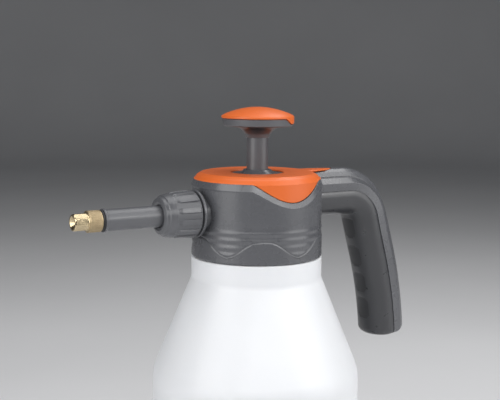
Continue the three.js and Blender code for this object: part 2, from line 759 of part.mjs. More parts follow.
// Brass cap with a knurled grip, an eight-sided nose and a dished orifice.
function nozzleCap() {
  const grip = solid(alongNozzle(turned([
    [0, NOZZLE_START_X],
    [KNURL_R - 0.4, NOZZLE_START_X],
    [KNURL_R, NOZZLE_START_X + 0.5],
    [KNURL_R, KNURL_END_X - 0.5],
    [KNURL_R - 0.5, KNURL_END_X],
    [0, KNURL_END_X],
  ])));
  const nose = solid(alongNozzle(turned([
    [0, KNURL_END_X - 1],
    [NOSE_R, KNURL_END_X - 1],
    [NOSE_R, NOZZLE_END_X - 0.6],
    [NOSE_R - 0.5, NOZZLE_END_X],
    [0, NOZZLE_END_X],
  ], NOSE_SIDES).rotateZ(THREE.MathUtils.degToRad(NOSE_TURN))));
  const chamber = solid(alongNozzle(turned([
    [0, NOZZLE_START_X - 1],
    [SPIGOT_R + 0.4, NOZZLE_START_X - 1],
    [SPIGOT_R + 0.4, SPIGOT_END_X + 0.6],
    [2.4, KNURL_END_X + 1.8],
    [0.6, KNURL_END_X + 3],
    [0.6, NOZZLE_END_X - 2.4],
    [3, NOZZLE_END_X + 0.2],
    [0, NOZZLE_END_X + 0.2],
  ], SMALL)));
  return grip.add(nose).subtract(chamber);
}

// Hose from the valve, round the pump barrel, to the socket's elbow.
function outletHose() {
  const route = [
    [VALVE_X, -8.6, OUTLET_Z],
    [VALVE_X, -12, OUTLET_Z],
    [22.5, -18, OUTLET_Z],
    [16, -24.5, OUTLET_Z],
    [6, -28.6, 28.6],
    [-6, -29, 28.2],
    [-17, -25.6, NOZZLE_Z],
    [-24.6, -19, NOZZLE_Z],
    [-ELBOW_X, -11, NOZZLE_Z],
    [-ELBOW_X, -4.6, NOZZLE_Z],
  ];
  const extrudePath = new THREE.CatmullRomCurve3(route.map((point) => new THREE.Vector3(...point)));
  const section = (radius) => {
    const points = [];
    for (let i = 0; i < HOSE_SIDES; i += 1) {
      const angle = i * (2 * Math.PI / HOSE_SIDES);
      points.push([radius * Math.cos(angle), radius * Math.sin(angle)]);
    }
    return outlineShape(points);
  };
  const shape = section(HOSE_R);
  shape.holes.push(section(HOSE_BORE_R));
  return solid(new THREE.ExtrudeGeometry(shape, { steps: 18, extrudePath, bevelEnabled: false }));
}

// ---- valve and suction line ---------------------------------------------------------------------------

function valveBody() {
  const shell = solid(turned([
    [1.4, SPIGOT_BOTTOM],
    [BARB_R - 0.1, SPIGOT_BOTTOM],
    [BARB_R - 0.1, DECK_BOTTOM - 1.5],
    [4.2, DECK_BOTTOM - 1.5],
    [4.2, DECK_TOP + GAP],
    [VALVE_R, DECK_TOP + GAP],
    [VALVE_R, VALVE_TOP],
    [VALVE_BORE_R, VALVE_TOP],
    [VALVE_BORE_R, SEAT_Z],
    [1.4, SEAT_Z],
    [1.4, SPIGOT_BOTTOM],
  ], SMALL).translate(VALVE_X, 0, 0));
  const barb = solid(across(rod(BARB_R, VALVE_BORE_R + 0.5, -BARB_TIP_Y), VALVE_X, OUTLET_Z));
  const bore = solid(across(rod(BARB_BORE_R, VALVE_BORE_R - 1.5, 1 - BARB_TIP_Y, 10), VALVE_X, OUTLET_Z));
  return shell.add(barb).subtract(bore);
}

const valveCap = () => solid(turned([
  [STEM_R + 0.15, VALVE_TOP - 2.4],
  [VALVE_BORE_R - 0.15, VALVE_TOP - 2.4],
  [VALVE_BORE_R - 0.15, VALVE_TOP + GAP],
  [VALVE_R, VALVE_TOP + GAP],
  [VALVE_R - 0.4, VALVE_TOP + 2.6],
  [STEM_R + 0.15, VALVE_TOP + 2.6],
  [STEM_R + 0.15, VALVE_TOP - 2.4],
], SMALL).translate(VALVE_X, 0, 0));

const valveStem = () => solid(turned([
  [0, SEAT_Z + 1.6],
  [3.3, SEAT_Z + 1.6],
  [3.3, SEAT_Z + 2.6],
  [STEM_R, SEAT_Z + 2.6],
  [STEM_R, STEM_HEAD_Z],
  [3, STEM_HEAD_Z],
  [3, STEM_TOP - 0.4],
  [2.6, STEM_TOP],
  [0, STEM_TOP],
], SMALL).translate(VALVE_X, 0, 0));

const valveSeal = () => solid(rod(3.4, SEAT_Z + 0.1, SEAT_Z + 1.4).translate(VALVE_X, 0, 0));

// Closing spring of the valve, between the stem's foot and the valve's cap.
function valveSpring() {
  const room = SPRING_WIRE_R + 0.15;
  const from = SEAT_Z + 2.6 + room;
  const to = VALVE_TOP - 2.4 - room;
  class Helix extends THREE.Curve {
    getPoint(t) {
      const angle = t * SPRING_TURNS * 2 * Math.PI;
      return new THREE.Vector3(
        VALVE_X + SPRING_R * Math.cos(angle),
        SPRING_R * Math.sin(angle),
        from + t * (to - from),
      );
    }
  }
  const square = [0, 1, 2, 3].map((i) => i * Math.PI / 2)
    .map((angle) => [SPRING_WIRE_R * Math.cos(angle), SPRING_WIRE_R * Math.sin(angle)]);
  return solid(new THREE.ExtrudeGeometry(
    outlineShape(square),
    { steps: 40, extrudePath: new Helix(), bevelEnabled: false },
  ));
}

const dipTube = () => solid(ring(
  DIP_TUBE_R, DIP_TUBE_BORE_R, FILTER_TOP - 6, DECK_BOTTOM - 2, SMALL,
).translate(VALVE_X, 0, 0));

// Strainer on the dip tube's end, with slots in its wall.
function suctionFilter() {
  let filter = solid(turned([
    [0, FILTER_BOTTOM],
    [FILTER_R - 0.6, FILTER_BOTTOM],
    [FILTER_R, FILTER_BOTTOM + 0.8],
    [FILTER_R, FILTER_TOP - 2],
    [DIP_TUBE_R + 0.9, FILTER_TOP],
    [DIP_TUBE_R + 0.15, FILTER_TOP],
    [DIP_TUBE_R + 0.15, FILTER_BOTTOM + 1.4],
    [0, FILTER_BOTTOM + 1.4],
  ], SMALL).translate(VALVE_X, 0, 0));
  const reach = FILTER_R + 1;
  for (let i = 0; i < FILTER_SLOTS; i += 1) {
    const slot = box([-reach, -0.7, FILTER_BOTTOM + 2.4], [reach, 0.7, FILTER_BOTTOM + 7.4]);
    filter = filter.subtract(solid(slot.rotateZ(i * Math.PI / FILTER_SLOTS).translate(VALVE_X, 0, 0)));
  }
  return filter;
}

// ---- handle -------------------------------------------------------------------------------------------

// Half outlines of the two shells, from the parting line to the middle of the back.
const SHELL_EDGE = [[-0.15, 14.1], [-6.4, 13.2], [-12, 8.2], [-SHELL_DEPTH, 0]];
const GRIP_EDGE = [[0.15, GRIP_HALF_WIDTH]];
for (let i = 1; i <= 4; i += 1) {
  const angle = (i / 4) * (Math.PI / 2);
  GRIP_EDGE.push([GRIP_DEPTH * Math.sin(angle), GRIP_HALF_WIDTH * Math.cos(angle)]);
}

// One hollow half of the handle, with its free end closed.
function handleHalf(edge) {
  const outside = mirrored(edge);
  const inside = mirrored(shrunk(edge, HANDLE_WALL)).reverse();
  const last = HANDLE_LENGTH;
  const wall = solid(alongHandle([...outside, ...inside], 0, last, HANDLE_STEPS));
  const end = solid(alongHandle(outside, last - HANDLE_END_WALL, last, 1));
  const headClearance = solid(rod(HEAD_R + GAP, -20, COVER_TOP_Z + 10, FINE));
  return wall.add(end).subtract(headClearance);
}

function handleOuterShell() {
  const slotSection = [
    [-7, -SLOT_HALF_WIDTH], [-7, SLOT_HALF_WIDTH], [-20, SLOT_HALF_WIDTH], [-20, -SLOT_HALF_WIDTH],
  ];
  const slot = solid(alongHandle(slotSection, 0, LEVER_END + LEVER_END_ROOM, 14));
  const sinkTop = -SHELL_DEPTH - 2;
  let shell = handleHalf(SHELL_EDGE).subtract(slot);
  for (const place of SCREW_PLACES) {
    const boss = solid(acrossHandle(rod(4.6, -SHELL_DEPTH + 1.2, -0.15), place));
    const hole = solid(acrossHandle(rod(SCREW_R + 0.2, sinkTop, 1), place));
    const sink = solid(acrossHandle(rod(SCREW_HEAD_R + 0.3, sinkTop, HEAD_SINK - SHELL_DEPTH), place));
    shell = shell.add(boss).subtract(hole).subtract(sink);
  }
  return shell;
}

function handleInnerGrip() {
  const screwTip = HANDLE_SCREW_LENGTH + HEAD_SINK - SHELL_DEPTH;
  let grip = handleHalf(GRIP_EDGE);
  for (const place of SCREW_PLACES) {
    const boss = solid(acrossHandle(rod(4, 0.15, GRIP_DEPTH - 1.2), place));
    const hole = solid(acrossHandle(rod(SCREW_R + 0.15, -1, screwTip + 1), place));
    grip = grip.add(boss).subtract(hole);
  }
  const under = HANDLE_Z - GRIP_DEPTH;
  const top = BRACKET_BOTTOM - GAP;
  const boss = solid(rod(4.4, under + 1.2, top).translate(BRACKET_SCREW_X, 0, 0));
  const hole = solid(rod(SCREW_R + 0.2, 0, top + 1).translate(BRACKET_SCREW_X, 0, 0));
  const sink = solid(rod(SCREW_HEAD_R + 0.3, 0, under + ROOT_SINK).translate(BRACKET_SCREW_X, 0, 0));
  return grip.add(boss).subtract(hole).subtract(sink);
}

// A pan-head screw with a cross slot, made with its point at height 0 and then moved by the matrix.
function screw(length, matrix) {
  const body = turned([
    [0, 0],
    [SCREW_R * 0.5, 0.6],
    [SCREW_R, 2],
    [SCREW_R, length],
    [SCREW_HEAD_R, length],
    [SCREW_HEAD_R, length + 1.2],
    [SCREW_HEAD_R - 0.9, length + 2],
    [0, length + 2],
  ], SMALL);
  const bars = [
    box([-1.8, -0.35, length + 1], [1.8, 0.35, length + 3]),
    box([-0.35, -1.8, length + 1], [0.35, 1.8, length + 3]),
  ];
  const cross = bars.map((bar) => solid(bar.applyMatrix4(matrix)));
  return solid(body.applyMatrix4(matrix)).subtract(cross[0]).subtract(cross[1]);
}

// Screw through the outer shell's back into the grip, at a distance along the handle.
function handleScrew(place) {
  const underHead = HEAD_SINK - SHELL_DEPTH - GAP;
  const { x, z } = handlePoint(place);
  const matrix = new THREE.Matrix4().makeTranslation(x, 0, z)
    .multiply(new THREE.Matrix4().makeRotationY(Math.PI + handleSlope(place)))
    .multiply(new THREE.Matrix4().makeTranslation(0, 0, underHead + HANDLE_SCREW_LENGTH))
    .multiply(new THREE.Matrix4().makeRotationX(Math.PI));
  return screw(HANDLE_SCREW_LENGTH, matrix);
}

// Screw up through the grip's root into the head's bracket.
function bracketScrew() {
  const underHead = HANDLE_Z - GRIP_DEPTH + ROOT_SINK - GAP;
  const matrix = new THREE.Matrix4()
    .makeTranslation(BRACKET_SCREW_X, 0, underHead + BRACKET_SCREW_LENGTH)
    .multiply(new THREE.Matrix4().makeRotationX(Math.PI));
  return screw(BRACKET_SCREW_LENGTH, matrix);
}

// Thumb lever: a strip that follows the handle's back, a boss on the pivot and a forked arm to the valve.
function thumbLever() {
  const section = mirrored([
    [-LEVER_UNDER, LEVER_HALF_WIDTH], [-13.4, LEVER_HALF_WIDTH], [-15, 4], [-15.4, 0],
  ]);
  const strip = solid(alongHandle(section, LEVER_START_X - HANDLE_START_X, LEVER_END, 16));
  const stripUnder = HANDLE_Z + LEVER_UNDER;
  const armTip = VALVE_X - 3.6;
  const arm = solid(uprightPlate([
    [armTip, 40.6],
    [PIVOT_X - 4, 38.6],
    [PIVOT_X, 38.1],
    [PIVOT_X + 3.2, 40],
    [PIVOT_X + 8, stripUnder + 0.6],
    [LEVER_START_X, stripUnder + 0.6],
    [LEVER_START_X, 43.4],
    [armTip, 43],
  ], 3.5));
  const boss = solid(across(rod(3.4, -6.4, 6.4), PIVOT_X, PIVOT_Z));
  const pinHole = solid(across(rod(PIN_R + 0.08, -12, 12), PIVOT_X, PIVOT_Z));
  const forkHalf = STEM_R + 0.35;
  const fork = solid(box([VALVE_X - 5, -forkHalf, 38], [VALVE_X + STEM_R + 0.5, forkHalf, 46]));
  const recess = tongue(0.6, TONGUE_TOP_Z - TONGUE_THICK - 0.5, TONGUE_TOP_Z + 2);
  return strip.add(arm).add(boss).subtract(pinHole).subtract(fork).subtract(recess);
}

const leverPivotPin = () => solid(across(
  rod(PIN_R, -BRACKET_HALF_WIDTH, BRACKET_HALF_WIDTH), PIVOT_X, PIVOT_Z,
));

// ---- the whole sprayer --------------------------------------------------------------------------------

addPiece(sprayer, 'bottle', bottle(), 'white');
addPiece(head, 'neck_gasket', gasket(), 'black');
addPiece(head, 'head_housing', headHousing(), 'grey');
addPiece(head, 'top_cover', topCover(), 'orange');
addPiece(head, 'pump_barrel', pumpBarrel(), 'white');
addPiece(head, 'barrel_seal', barrelSeal(), 'black');
addPiece(head, 'barrel_check_valve', barrelCheckValve(), 'black');
addPiece(head, 'pump_guide_cap', pumpGuideCap(), 'grey');
addPiece(head, 'piston_head', pistonHead(), 'grey');
addPiece(head, 'piston_seal', pistonSeal(), 'black');
addPiece(head, 'pump_rod', pumpRod(), 'grey');
addPiece(head, 'knob_base', knobBase(), 'grey');
addPiece(head, 'knob_cap', knobCap(), 'orange');
addPiece(head, 'spray_tube_socket', sprayTubeSocket(), 'grey');
addPiece(head, 'union_nut', unionNut(), 'grey');
addPiece(head, 'tube_seal', tubeSeal(), 'black');
addPiece(head, 'spray_tube', sprayTube(), 'grey');
addPiece(head, 'nozzle_seal', nozzleSeal(), 'black');
addPiece(head, 'nozzle_insert', nozzleInsert(), 'black');
addPiece(head, 'nozzle_cap', nozzleCap(), 'brass');
addPiece(head, 'outlet_hose', outletHose(), 'black');
addPiece(head, 'valve_body', valveBody(), 'grey');
addPiece(head, 'valve_cap', valveCap(), 'grey');
addPiece(head, 'valve_stem', valveStem(), 'steel');
addPiece(head, 'valve_seal', valveSeal(), 'black');
addPiece(head, 'valve_spring', valveSpring(), 'steel');
addPiece(head, 'dip_tube', dipTube(), 'white');
addPiece(head, 'suction_filter', suctionFilter(), 'grey');
addPiece(head, 'handle_outer_shell', handleOuterShell(), 'grey');
addPiece(head, 'handle_inner_grip', handleInnerGrip(), 'darkGrey');
addPiece(head, 'bracket_screw', bracketScrew(), 'steel');
SCREW_PLACES.forEach((place, i) => addPiece(head, `handle_screw_${i + 1}`, handleScrew(place), 'steel'));
addPiece(head, 'thumb_lever', thumbLever(), 'grey');
addPiece(head, 'lever_pivot_pin', leverPivotPin(), 'steel');

export default sprayer;
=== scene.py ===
"""Looks of a hand pump sprayer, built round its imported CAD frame.

Blender works in metres. Outlines and sections are listed in millimetres, and each piece's placing
matrix turns them into metres in the frame. Heights on the head count from the head's lower rim.
"""

import math

import bmesh
import bpy
from mathutils import Matrix, Vector


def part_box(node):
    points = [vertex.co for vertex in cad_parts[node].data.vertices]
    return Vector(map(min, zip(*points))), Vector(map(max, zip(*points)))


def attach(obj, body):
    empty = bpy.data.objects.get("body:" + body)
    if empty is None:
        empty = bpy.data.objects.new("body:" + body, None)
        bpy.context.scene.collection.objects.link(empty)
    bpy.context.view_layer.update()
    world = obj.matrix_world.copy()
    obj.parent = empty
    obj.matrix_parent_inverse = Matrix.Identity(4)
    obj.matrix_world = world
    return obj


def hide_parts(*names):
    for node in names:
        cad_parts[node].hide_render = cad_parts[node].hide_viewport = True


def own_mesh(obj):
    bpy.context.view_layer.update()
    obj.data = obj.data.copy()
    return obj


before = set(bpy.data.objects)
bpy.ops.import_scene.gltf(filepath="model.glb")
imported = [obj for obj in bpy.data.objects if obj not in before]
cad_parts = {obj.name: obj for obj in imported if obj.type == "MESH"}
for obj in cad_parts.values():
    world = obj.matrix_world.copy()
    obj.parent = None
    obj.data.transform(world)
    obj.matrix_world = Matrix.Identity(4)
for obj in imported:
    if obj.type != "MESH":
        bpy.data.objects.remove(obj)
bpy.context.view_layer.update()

# ---- places, taken from the frame ----

MM = 0.001
NECK_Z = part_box("head_housing")[0].z
NOZZLE_Z = sum(corner.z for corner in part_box("nozzle_cap")) / 2
VALVE_X = sum(corner.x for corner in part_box("valve_cap")) / 2
RIM = NECK_Z / MM  # the head's rim above the base, in millimetres
BOTTLE_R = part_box("bottle")[1].x / MM
HEAD_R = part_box("head_housing")[1].y / MM

MILLIMETRES = Matrix.Scale(MM, 4)
BASE = MILLIMETRES
HEAD = Matrix.Translation((0, 0, NECK_Z)) @ MILLIMETRES
VALVE = Matrix.Translation((VALVE_X, 0, NECK_Z)) @ MILLIMETRES
# Along the spray line local Z runs away from the head, and local angle 0 points up.
SPRAY = Matrix.Translation((0, 0, NOZZLE_Z)) @ Matrix.Rotation(-math.pi / 2, 4, "Y") @ MILLIMETRES

# ---- driving sizes, in millimetres ----

EDGE = 0.3  # fillet of an edge that has no other
FILLET_STEPS = 4
GAP = 0.3  # clearance between pieces

CONE_TOP = RIM - 13.3
CONE_SLOPE = 0.411  # how fast the bottle's shoulder widens going down
BOTTLE_WALL = 2
KNEE_FILLET = 24
SHOULDER_FILLET = 7
NECK_R = 33.5
MOUTH_R = 31
MOUTH_Z = 16
THREAD_DEPTH = 1.8
THREAD_PITCH = 5

BORE_R = 36.4
DECK_BOTTOM = 18.5
DECK_TOP = 20.8
WALL_R = 39.15
LIP_R = 38.2
SEAM_Z = 46.6
LOBE_ANGLE = 88
LOBE_HALF_WIDTH = 38.5
LOBE_DEPTH = 11.1
WAVE_LOW = 4.0
WAVE_HIGH = 13.6
WAVE_TROUGH = 84.3  # angle from the handle of the trough beside it
WAVE_HALF = 32.15  # degrees from a trough to a crest
WAVE_LAST_HALF = 38
RIDGE_TOP = 18.1
RIDGE_PITCH = 4.25
RIDGE_RISE = 0.3
COVER_Z = 50.2
COVER_FLAT_R = 33.6
COVER_HOLE_R = 15.8
COVER_WALL = 2
TONGUE_TIP = 56
NOTCH_HALF_WIDTH = 7.4  # opening for the lever in the head's wall and in the cover

BARREL_R = 14.6
BARREL_BORE_R = 13
BARREL_TOP = 46.2
BARREL_BOTTOM = -74
ROD_R = 6.5
KNOB_R = 21.8
KNOB_BASE_R = 21.2
COLLAR_LOW = 71
COLLAR_TOP = 77.9
KNOB_SPLIT = 82.5  # seam between the knob's base and its cap
KNOB_TOP = 89.1

TUBE_R = 6.25
STUB_R = 9.6
NUT_PADS = 12
NUT_PAD_TURN = 17.5  # angle of the first pad from the top
KNURL_R = 6.12
KNURL_LOW = 103.4
KNURL_HIGH = 109.9
KNURL_RIBS = 36
KNURL_PITCH = 0.9
KNURL_DEPTH = 0.22
NOSE_SIDES = 8
NOSE_TURN = 33.3

HANDLE_X = 30
HANDLE_Z = 34.9
BEND_X = 61.5
BEND_R = 22
BEND_TURN = math.radians(74)
STRAIGHT = 26
CURL_R = 260
HANDLE_END_Z = -60.5
HANDLE_WALL = 2.4
HANDLE_END_FILLET = 4
SHELL_DEPTH = 14.2
GRIP_DEPTH = 14.6
GRIP_HALF_WIDTH = 14.25
FINGER_DEPTH = 0.35
FINGER_REACH = 0.44  # half angle that a finger's dip covers round the grip
FINGER_PLACES = ((62.5, 9), (84, 7.5), (103.5, 7.5), (122, 8))  # middle and half length
SLOT_HALF_WIDTH = 6.95
LEVER_ROOT_R = 38.6
PIVOT_X = 45
PIVOT_Z = 40.8
PIN_R = 1.5
SCREW_R = 1.5
SCREW_HEAD_R = 3.1
SCREW_LENGTH = 18
SCREW_SINK = 5  # depth of the screw's seat in the handle
BRACKET_SCREW_X = 52.5
BRACKET_SCREW_SINK = 3
BRACKET_SCREW_LENGTH = 10


def smooth_step(low, high, value):
    """0 below low, 1 above high, and a smooth rise between."""
    t = min(max((value - low) / (high - low), 0), 1)
    return t * t * (3 - 2 * t)


def spaced(first, last, steps):
    """Evenly spaced values from first to last, both included."""
    return [first + (last - first) * i / steps for i in range(steps + 1)]


def from_handle(angle):
    """Degrees between an angle and the handle's side, from 0 to 180."""
    return abs(math.degrees(math.atan2(math.sin(angle), math.cos(angle))))


# ---- making meshes ----


def rounded(points, closed):
    """The points (a, b[, fillet]) of an outline with an arc at each corner. Fillet 0 keeps a corner."""
    result = []
    for i, (a, b, *fillet) in enumerate(points):
        radius = fillet[0] if fillet else EDGE
        if radius == 0 or (not closed and i in (0, len(points) - 1)):
            result.append((a, b))
            continue
        here = Vector((a, b))
        before = Vector(points[i - 1][:2]) - here
        after = Vector(points[(i + 1) % len(points)][:2]) - here
        half = before.angle(after, math.pi) / 2
        cut = min(radius / max(math.tan(half), 1e-6), 0.47 * before.length, 0.47 * after.length)
        start = here + before.normalized() * cut
        end = here + after.normalized() * cut
        for k in range(FILLET_STEPS + 1):
            t = k / FILLET_STEPS
            weights = ((1 - t) ** 2, 2 * t * (1 - t) * math.sin(half), t * t)
            point = (start * weights[0] + here * weights[1] + end * weights[2]) / sum(weights)
            result.append(tuple(point))
    return result


def mesh_object(vertices, faces):
    """A new object with clean faces that all look outwards."""
    mesh = bpy.data.meshes.new("piece")
    mesh.from_pydata(vertices, [], faces)
    shape = bmesh.new()
    shape.from_mesh(mesh)
    bmesh.ops.remove_doubles(shape, verts=shape.verts, dist=2e-6)
    bmesh.ops.dissolve_degenerate(shape, edges=shape.edges, dist=1e-7)
    bmesh.ops.recalc_face_normals(shape, faces=shape.faces)
    shape.to_mesh(mesh)
    shape.free()
    made = bpy.data.objects.new("piece", mesh)
    bpy.context.scene.collection.objects.link(made)
    return made


def skin(rows, place, wrap_rows, wrap_columns):
    """A closed mesh over rows of points. Rows that don't wrap are closed by a face at each end."""
    count, width = len(rows), len(rows[0])
    vertices = [place @ Vector(point) for row in rows for point in row]
    faces = []
    for i in range(count if wrap_rows else count - 1):
        for j in range(width if wrap_columns else width - 1):
            here, there = i * width, (i + 1) % count * width
            k = (j + 1) % width
            faces.append((here + j, here + k, there + k, there + j))
    if not wrap_rows:
        faces.append(tuple(range(width)))
        faces.append(tuple(range((count - 1) * width, count * width)))
    return mesh_object(vertices, faces)


def lathe(profile, place, angles=96):
    """A solid turned about local Z, from (radius, height[, fillet]) points that run from axis to axis
    or close on themselves. The profile may be a function of the angle, and angles a count or a list."""
    if isinstance(angles, int):
        angles = [2 * math.pi * i / angles for i in range(angles)]
    rows = []
    for angle in angles:
        points = profile(angle) if callable(profile) else profile
        closed = points[0][0] > 0
        turn = (math.cos(angle), math.sin(angle))
        rows.append([(r * turn[0], r * turn[1], z) for r, z in rounded(points, closed)])
    return skin(rows, place, True, closed)


def ring(outer, inner, low, high, place, fillet=EDGE, angles=64):
    corners = [(inner, low), (outer, low), (outer, high), (inner, high)]
    return lathe([(r, z, fillet) for r, z in corners], place, angles)


def rod(radius, low, high, place, angles=32):
    return lathe([(0, low), (radius, low, 0), (radius, high, 0), (0, high)], place, angles)


def block(low, high, place):
    (x0, y0, z0), (x1, y1, z1) = low, high
    rows = [[(x0, y0, z), (x1, y0, z), (x1, y1, z), (x0, y1, z)] for z in (z0, z1)]
    return skin(rows, place, False, True)


def applied(piece):
    """Turns the piece's modifiers into mesh."""
    graph = bpy.context.evaluated_depsgraph_get()
    mesh = bpy.data.meshes.new_from_object(piece.evaluated_get(graph))
    piece.modifiers.clear()
    piece.data = mesh
    return piece


def softened(piece, width):
    """Rounds the piece's sharp edges."""
    bevel = piece.modifiers.new("soften", "BEVEL")
    bevel.width = width * MM
    bevel.segments = 3
    bevel.limit_method = "ANGLE"
    bevel.angle_limit = math.radians(35)
    return applied(piece)


def combined(piece, tool, operation):
    boolean = piece.modifiers.new("combine", "BOOLEAN")
    boolean.object = tool
    boolean.operation = operation
    boolean.solver = "MANIFOLD"
    applied(piece)
    bpy.data.objects.remove(tool)
    return piece


def joined(piece, *tools):
    for tool in tools:
        combined(piece, tool, "UNION")
    return piece


def cut(piece, *tools):
    for tool in tools:
        combined(piece, tool, "DIFFERENCE")
    return piece


def dress(piece, node, body, material, slot):
    """Names a new piece after the CAD node it stands for, and gives it its look and its body."""
    piece.name = node + "_finished"
    piece.data.materials.clear()
    piece.data.materials.append(material)
    piece.data.shade_smooth()
    piece.data.set_sharp_from_angle(angle=math.radians(38))
    normals = piece.modifiers.new("normals", "WEIGHTED_NORMAL")
    normals.keep_sharp = True
    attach(piece, body)
    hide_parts(node)
    return piece


# ---- materials ----


class Look:
    """A procedural material with one Principled shader, textured in the frame's own coordinates."""

    def __init__(self, name, roughness):
        self.material = bpy.data.materials.new(name)
        self.material.use_nodes = True
        self.tree = self.material.node_tree
        self.shader = next(n for n in self.tree.nodes if n.type == "BSDF_PRINCIPLED")
        self.shader.inputs["Roughness"].default_value = roughness
        self.shader.inputs["IOR"].default_value = 1.54
        self.place = self.tree.nodes.new("ShaderNodeTexCoord").outputs["Object"]

    def node(self, kind, inputs=None, **settings):
        made = self.tree.nodes.new(kind)
        for key, value in settings.items():
            setattr(made, key, value)
        for key, value in (inputs or {}).items():
            if isinstance(value, bpy.types.NodeSocket):
                self.tree.links.new(value, made.inputs[key])
            else:
                made.inputs[key].default_value = value
        return made

    def noise(self, size, detail=2.0, stretch=(1, 1, 1)):
        """Noise whose blotches are about size metres across, longer where stretch is below 1."""
        mapping = self.node("ShaderNodeMapping", {"Vector": self.place, "Scale": stretch})
        inputs = {"Vector": mapping.outputs["Vector"], "Scale": 1 / size, "Detail": detail}
        return self.node("ShaderNodeTexNoise", inputs).outputs["Fac"]

    def spread(self, factor, low, high, start=0.3, end=0.7):
        inputs = {"Value": factor, "From Min": start, "From Max": end, "To Min": low, "To Max": high}
        return self.node("ShaderNodeMapRange", inputs).outputs["Result"]

    def mixed(self, factor, first, second):
        made = self.node("ShaderNodeMix", {0: factor}, data_type="RGBA")
        for socket, value in ((made.inputs[6], first), (made.inputs[7], second)):
            if isinstance(value, bpy.types.NodeSocket):
                self.tree.links.new(value, socket)
            else:
                socket.default_value = (*value, 1)
        return made.outputs[2]

    def wire(self, socket, output):
        self.tree.links.new(output, self.shader.inputs[socket])

    def bump(self, height, depth, under=None):
        inputs = {"Height": height, "Distance": depth, "Strength": 1.0}
        if under:
            inputs["Normal"] = under
        return self.node("ShaderNodeBump", inputs).outputs["Normal"]


def scaled(colour, factor):
    return tuple(min(channel * factor, 1) for channel in colour)


def moulded(name, colour, roughness, grain, depth, wear=0.5, cloud=0.05, painted_shade_under_knob=False):
    """Moulded plastic: a fine grain, faint flow clouds, and edges rubbed paler by handling. With the
    under-knob flag set, the flare below the knob is painted nearly black: painted shade in its colour."""
    look = Look(name, roughness)
    clouds = look.noise(0.03, 3)
    body = look.mixed(look.spread(clouds, 0, 1), scaled(colour, 1 - cloud), scaled(colour, 1 + cloud))
    rounded_off = look.node("ShaderNodeBevel", {"Radius": 0.0007}, samples=4).outputs["Normal"]
    facing = look.node("ShaderNodeNewGeometry").outputs["Normal"]
    turned = look.node("ShaderNodeVectorMath", {0: rounded_off, 1: facing}, operation="DOT_PRODUCT")
    patchy = look.spread(look.noise(0.004, 3), 0.3, 1)
    edge = look.spread(turned.outputs["Value"], wear, 0, 0.86, 0.99)
    worn = look.node("ShaderNodeMath", {0: edge, 1: patchy}, operation="MULTIPLY").outputs[0]
    body = look.mixed(worn, body, scaled(colour, 1.7))
    # Painted shade: the flare under the knob's disc is darkened to a tenth of its colour, standing in for
    # its shadow.
    if painted_shade_under_knob:
        height = look.node("ShaderNodeSeparateXYZ", {0: look.place}).outputs["Z"]
        rising = look.spread(height, 0, 0.85, (RIM + COLLAR_LOW) * MM, (RIM + COLLAR_TOP - 2) * MM)
        below = look.spread(height, 1, 0, (RIM + COLLAR_TOP) * MM, (RIM + COLLAR_TOP + 0.3) * MM)
        painted_shade = look.node("ShaderNodeMath", {0: rising, 1: below}, operation="MULTIPLY").outputs[0]
        body = look.mixed(painted_shade, body, scaled(colour, 0.1))
    look.wire("Base Color", body)
    matt = look.spread(look.noise(0.006, 2), roughness - 0.04, roughness + 0.04)
    look.wire("Roughness", matt)
    fine = look.bump(look.noise(grain, 1), depth)
    look.wire("Normal", look.bump(look.noise(0.02, 2), 0.00003, fine))
    return look


def bottle_look():
    """Natural polyethylene: milky, a little waxy, with the faint ripples of a blown wall."""
    milk = (0.75, 0.76, 0.78)
    look = Look("bottle_polyethylene", 0.36)
    drift = look.spread(look.noise(0.05, 2, (1, 1, 0.3)), 0, 1)
    look.wire("Base Color", look.mixed(drift, scaled(milk, 0.975), scaled(milk, 1.02)))
    look.wire("Roughness", look.spread(look.noise(0.012, 3), 0.32, 0.42))
    ripple = look.bump(look.noise(0.018, 1, (1, 1, 0.35)), 0.00012)
    look.wire("Normal", look.bump(look.noise(0.0005, 1), 0.000012, ripple))
    look.shader.inputs["Subsurface Weight"].default_value = 0.35
    look.shader.inputs["Subsurface Radius"].default_value = (1.0, 0.95, 0.9)
    look.shader.inputs["Subsurface Scale"].default_value = 0.006
    return look


def brass_look(name, roughness, turned):
    """Machined brass, with turning marks round the spray line where it was turned."""
    brass = (0.6, 0.49, 0.31) if turned else (0.45, 0.355, 0.22)
    look = Look(name, roughness)
    look.shader.inputs["Metallic"].default_value = 1
    tarnish = look.spread(look.noise(0.003, 4), 0, 1, 0.35, 0.75)
    look.wire("Base Color", look.mixed(tarnish, brass, scaled(brass, 0.82)))
    look.wire("Roughness", look.spread(look.noise(0.0012, 3), roughness - 0.06, roughness + 0.1))
    marks = look.noise(0.0003, 1, (1, 0.02, 0.02) if turned else (1, 1, 1))
    look.wire("Normal", look.bump(marks, 0.000002 if turned else 0.00001))
    return look


def steel_look():
    """Zinc plate: pale, slightly clouded metal with fine scratches."""
    look = Look("zinc_plated_steel", 0.3)
    look.shader.inputs["Metallic"].default_value = 1
    haze = look.spread(look.noise(0.002, 3), 0, 1)
    look.wire("Base Color", look.mixed(haze, (0.62, 0.64, 0.66), (0.5, 0.51, 0.5)))
    look.wire("Roughness", look.spread(look.noise(0.0008, 2), 0.24, 0.4))
    look.wire("Normal", look.bump(look.noise(0.0003, 1, (1, 0.1, 1)), 0.00001))
    return look


GREY = (0.082, 0.084, 0.092)
# Painted shade: the grip is the shell's grey plastic, darkened here nearly to black to stand in for the
# shade on its inner side.
GRIP_GREY_PAINTED_SHADE = (0.03, 0.031, 0.035)
ORANGE = (0.66, 0.13, 0.024)
GREY_IOR = 1.64
ORANGE_IOR = 1.45

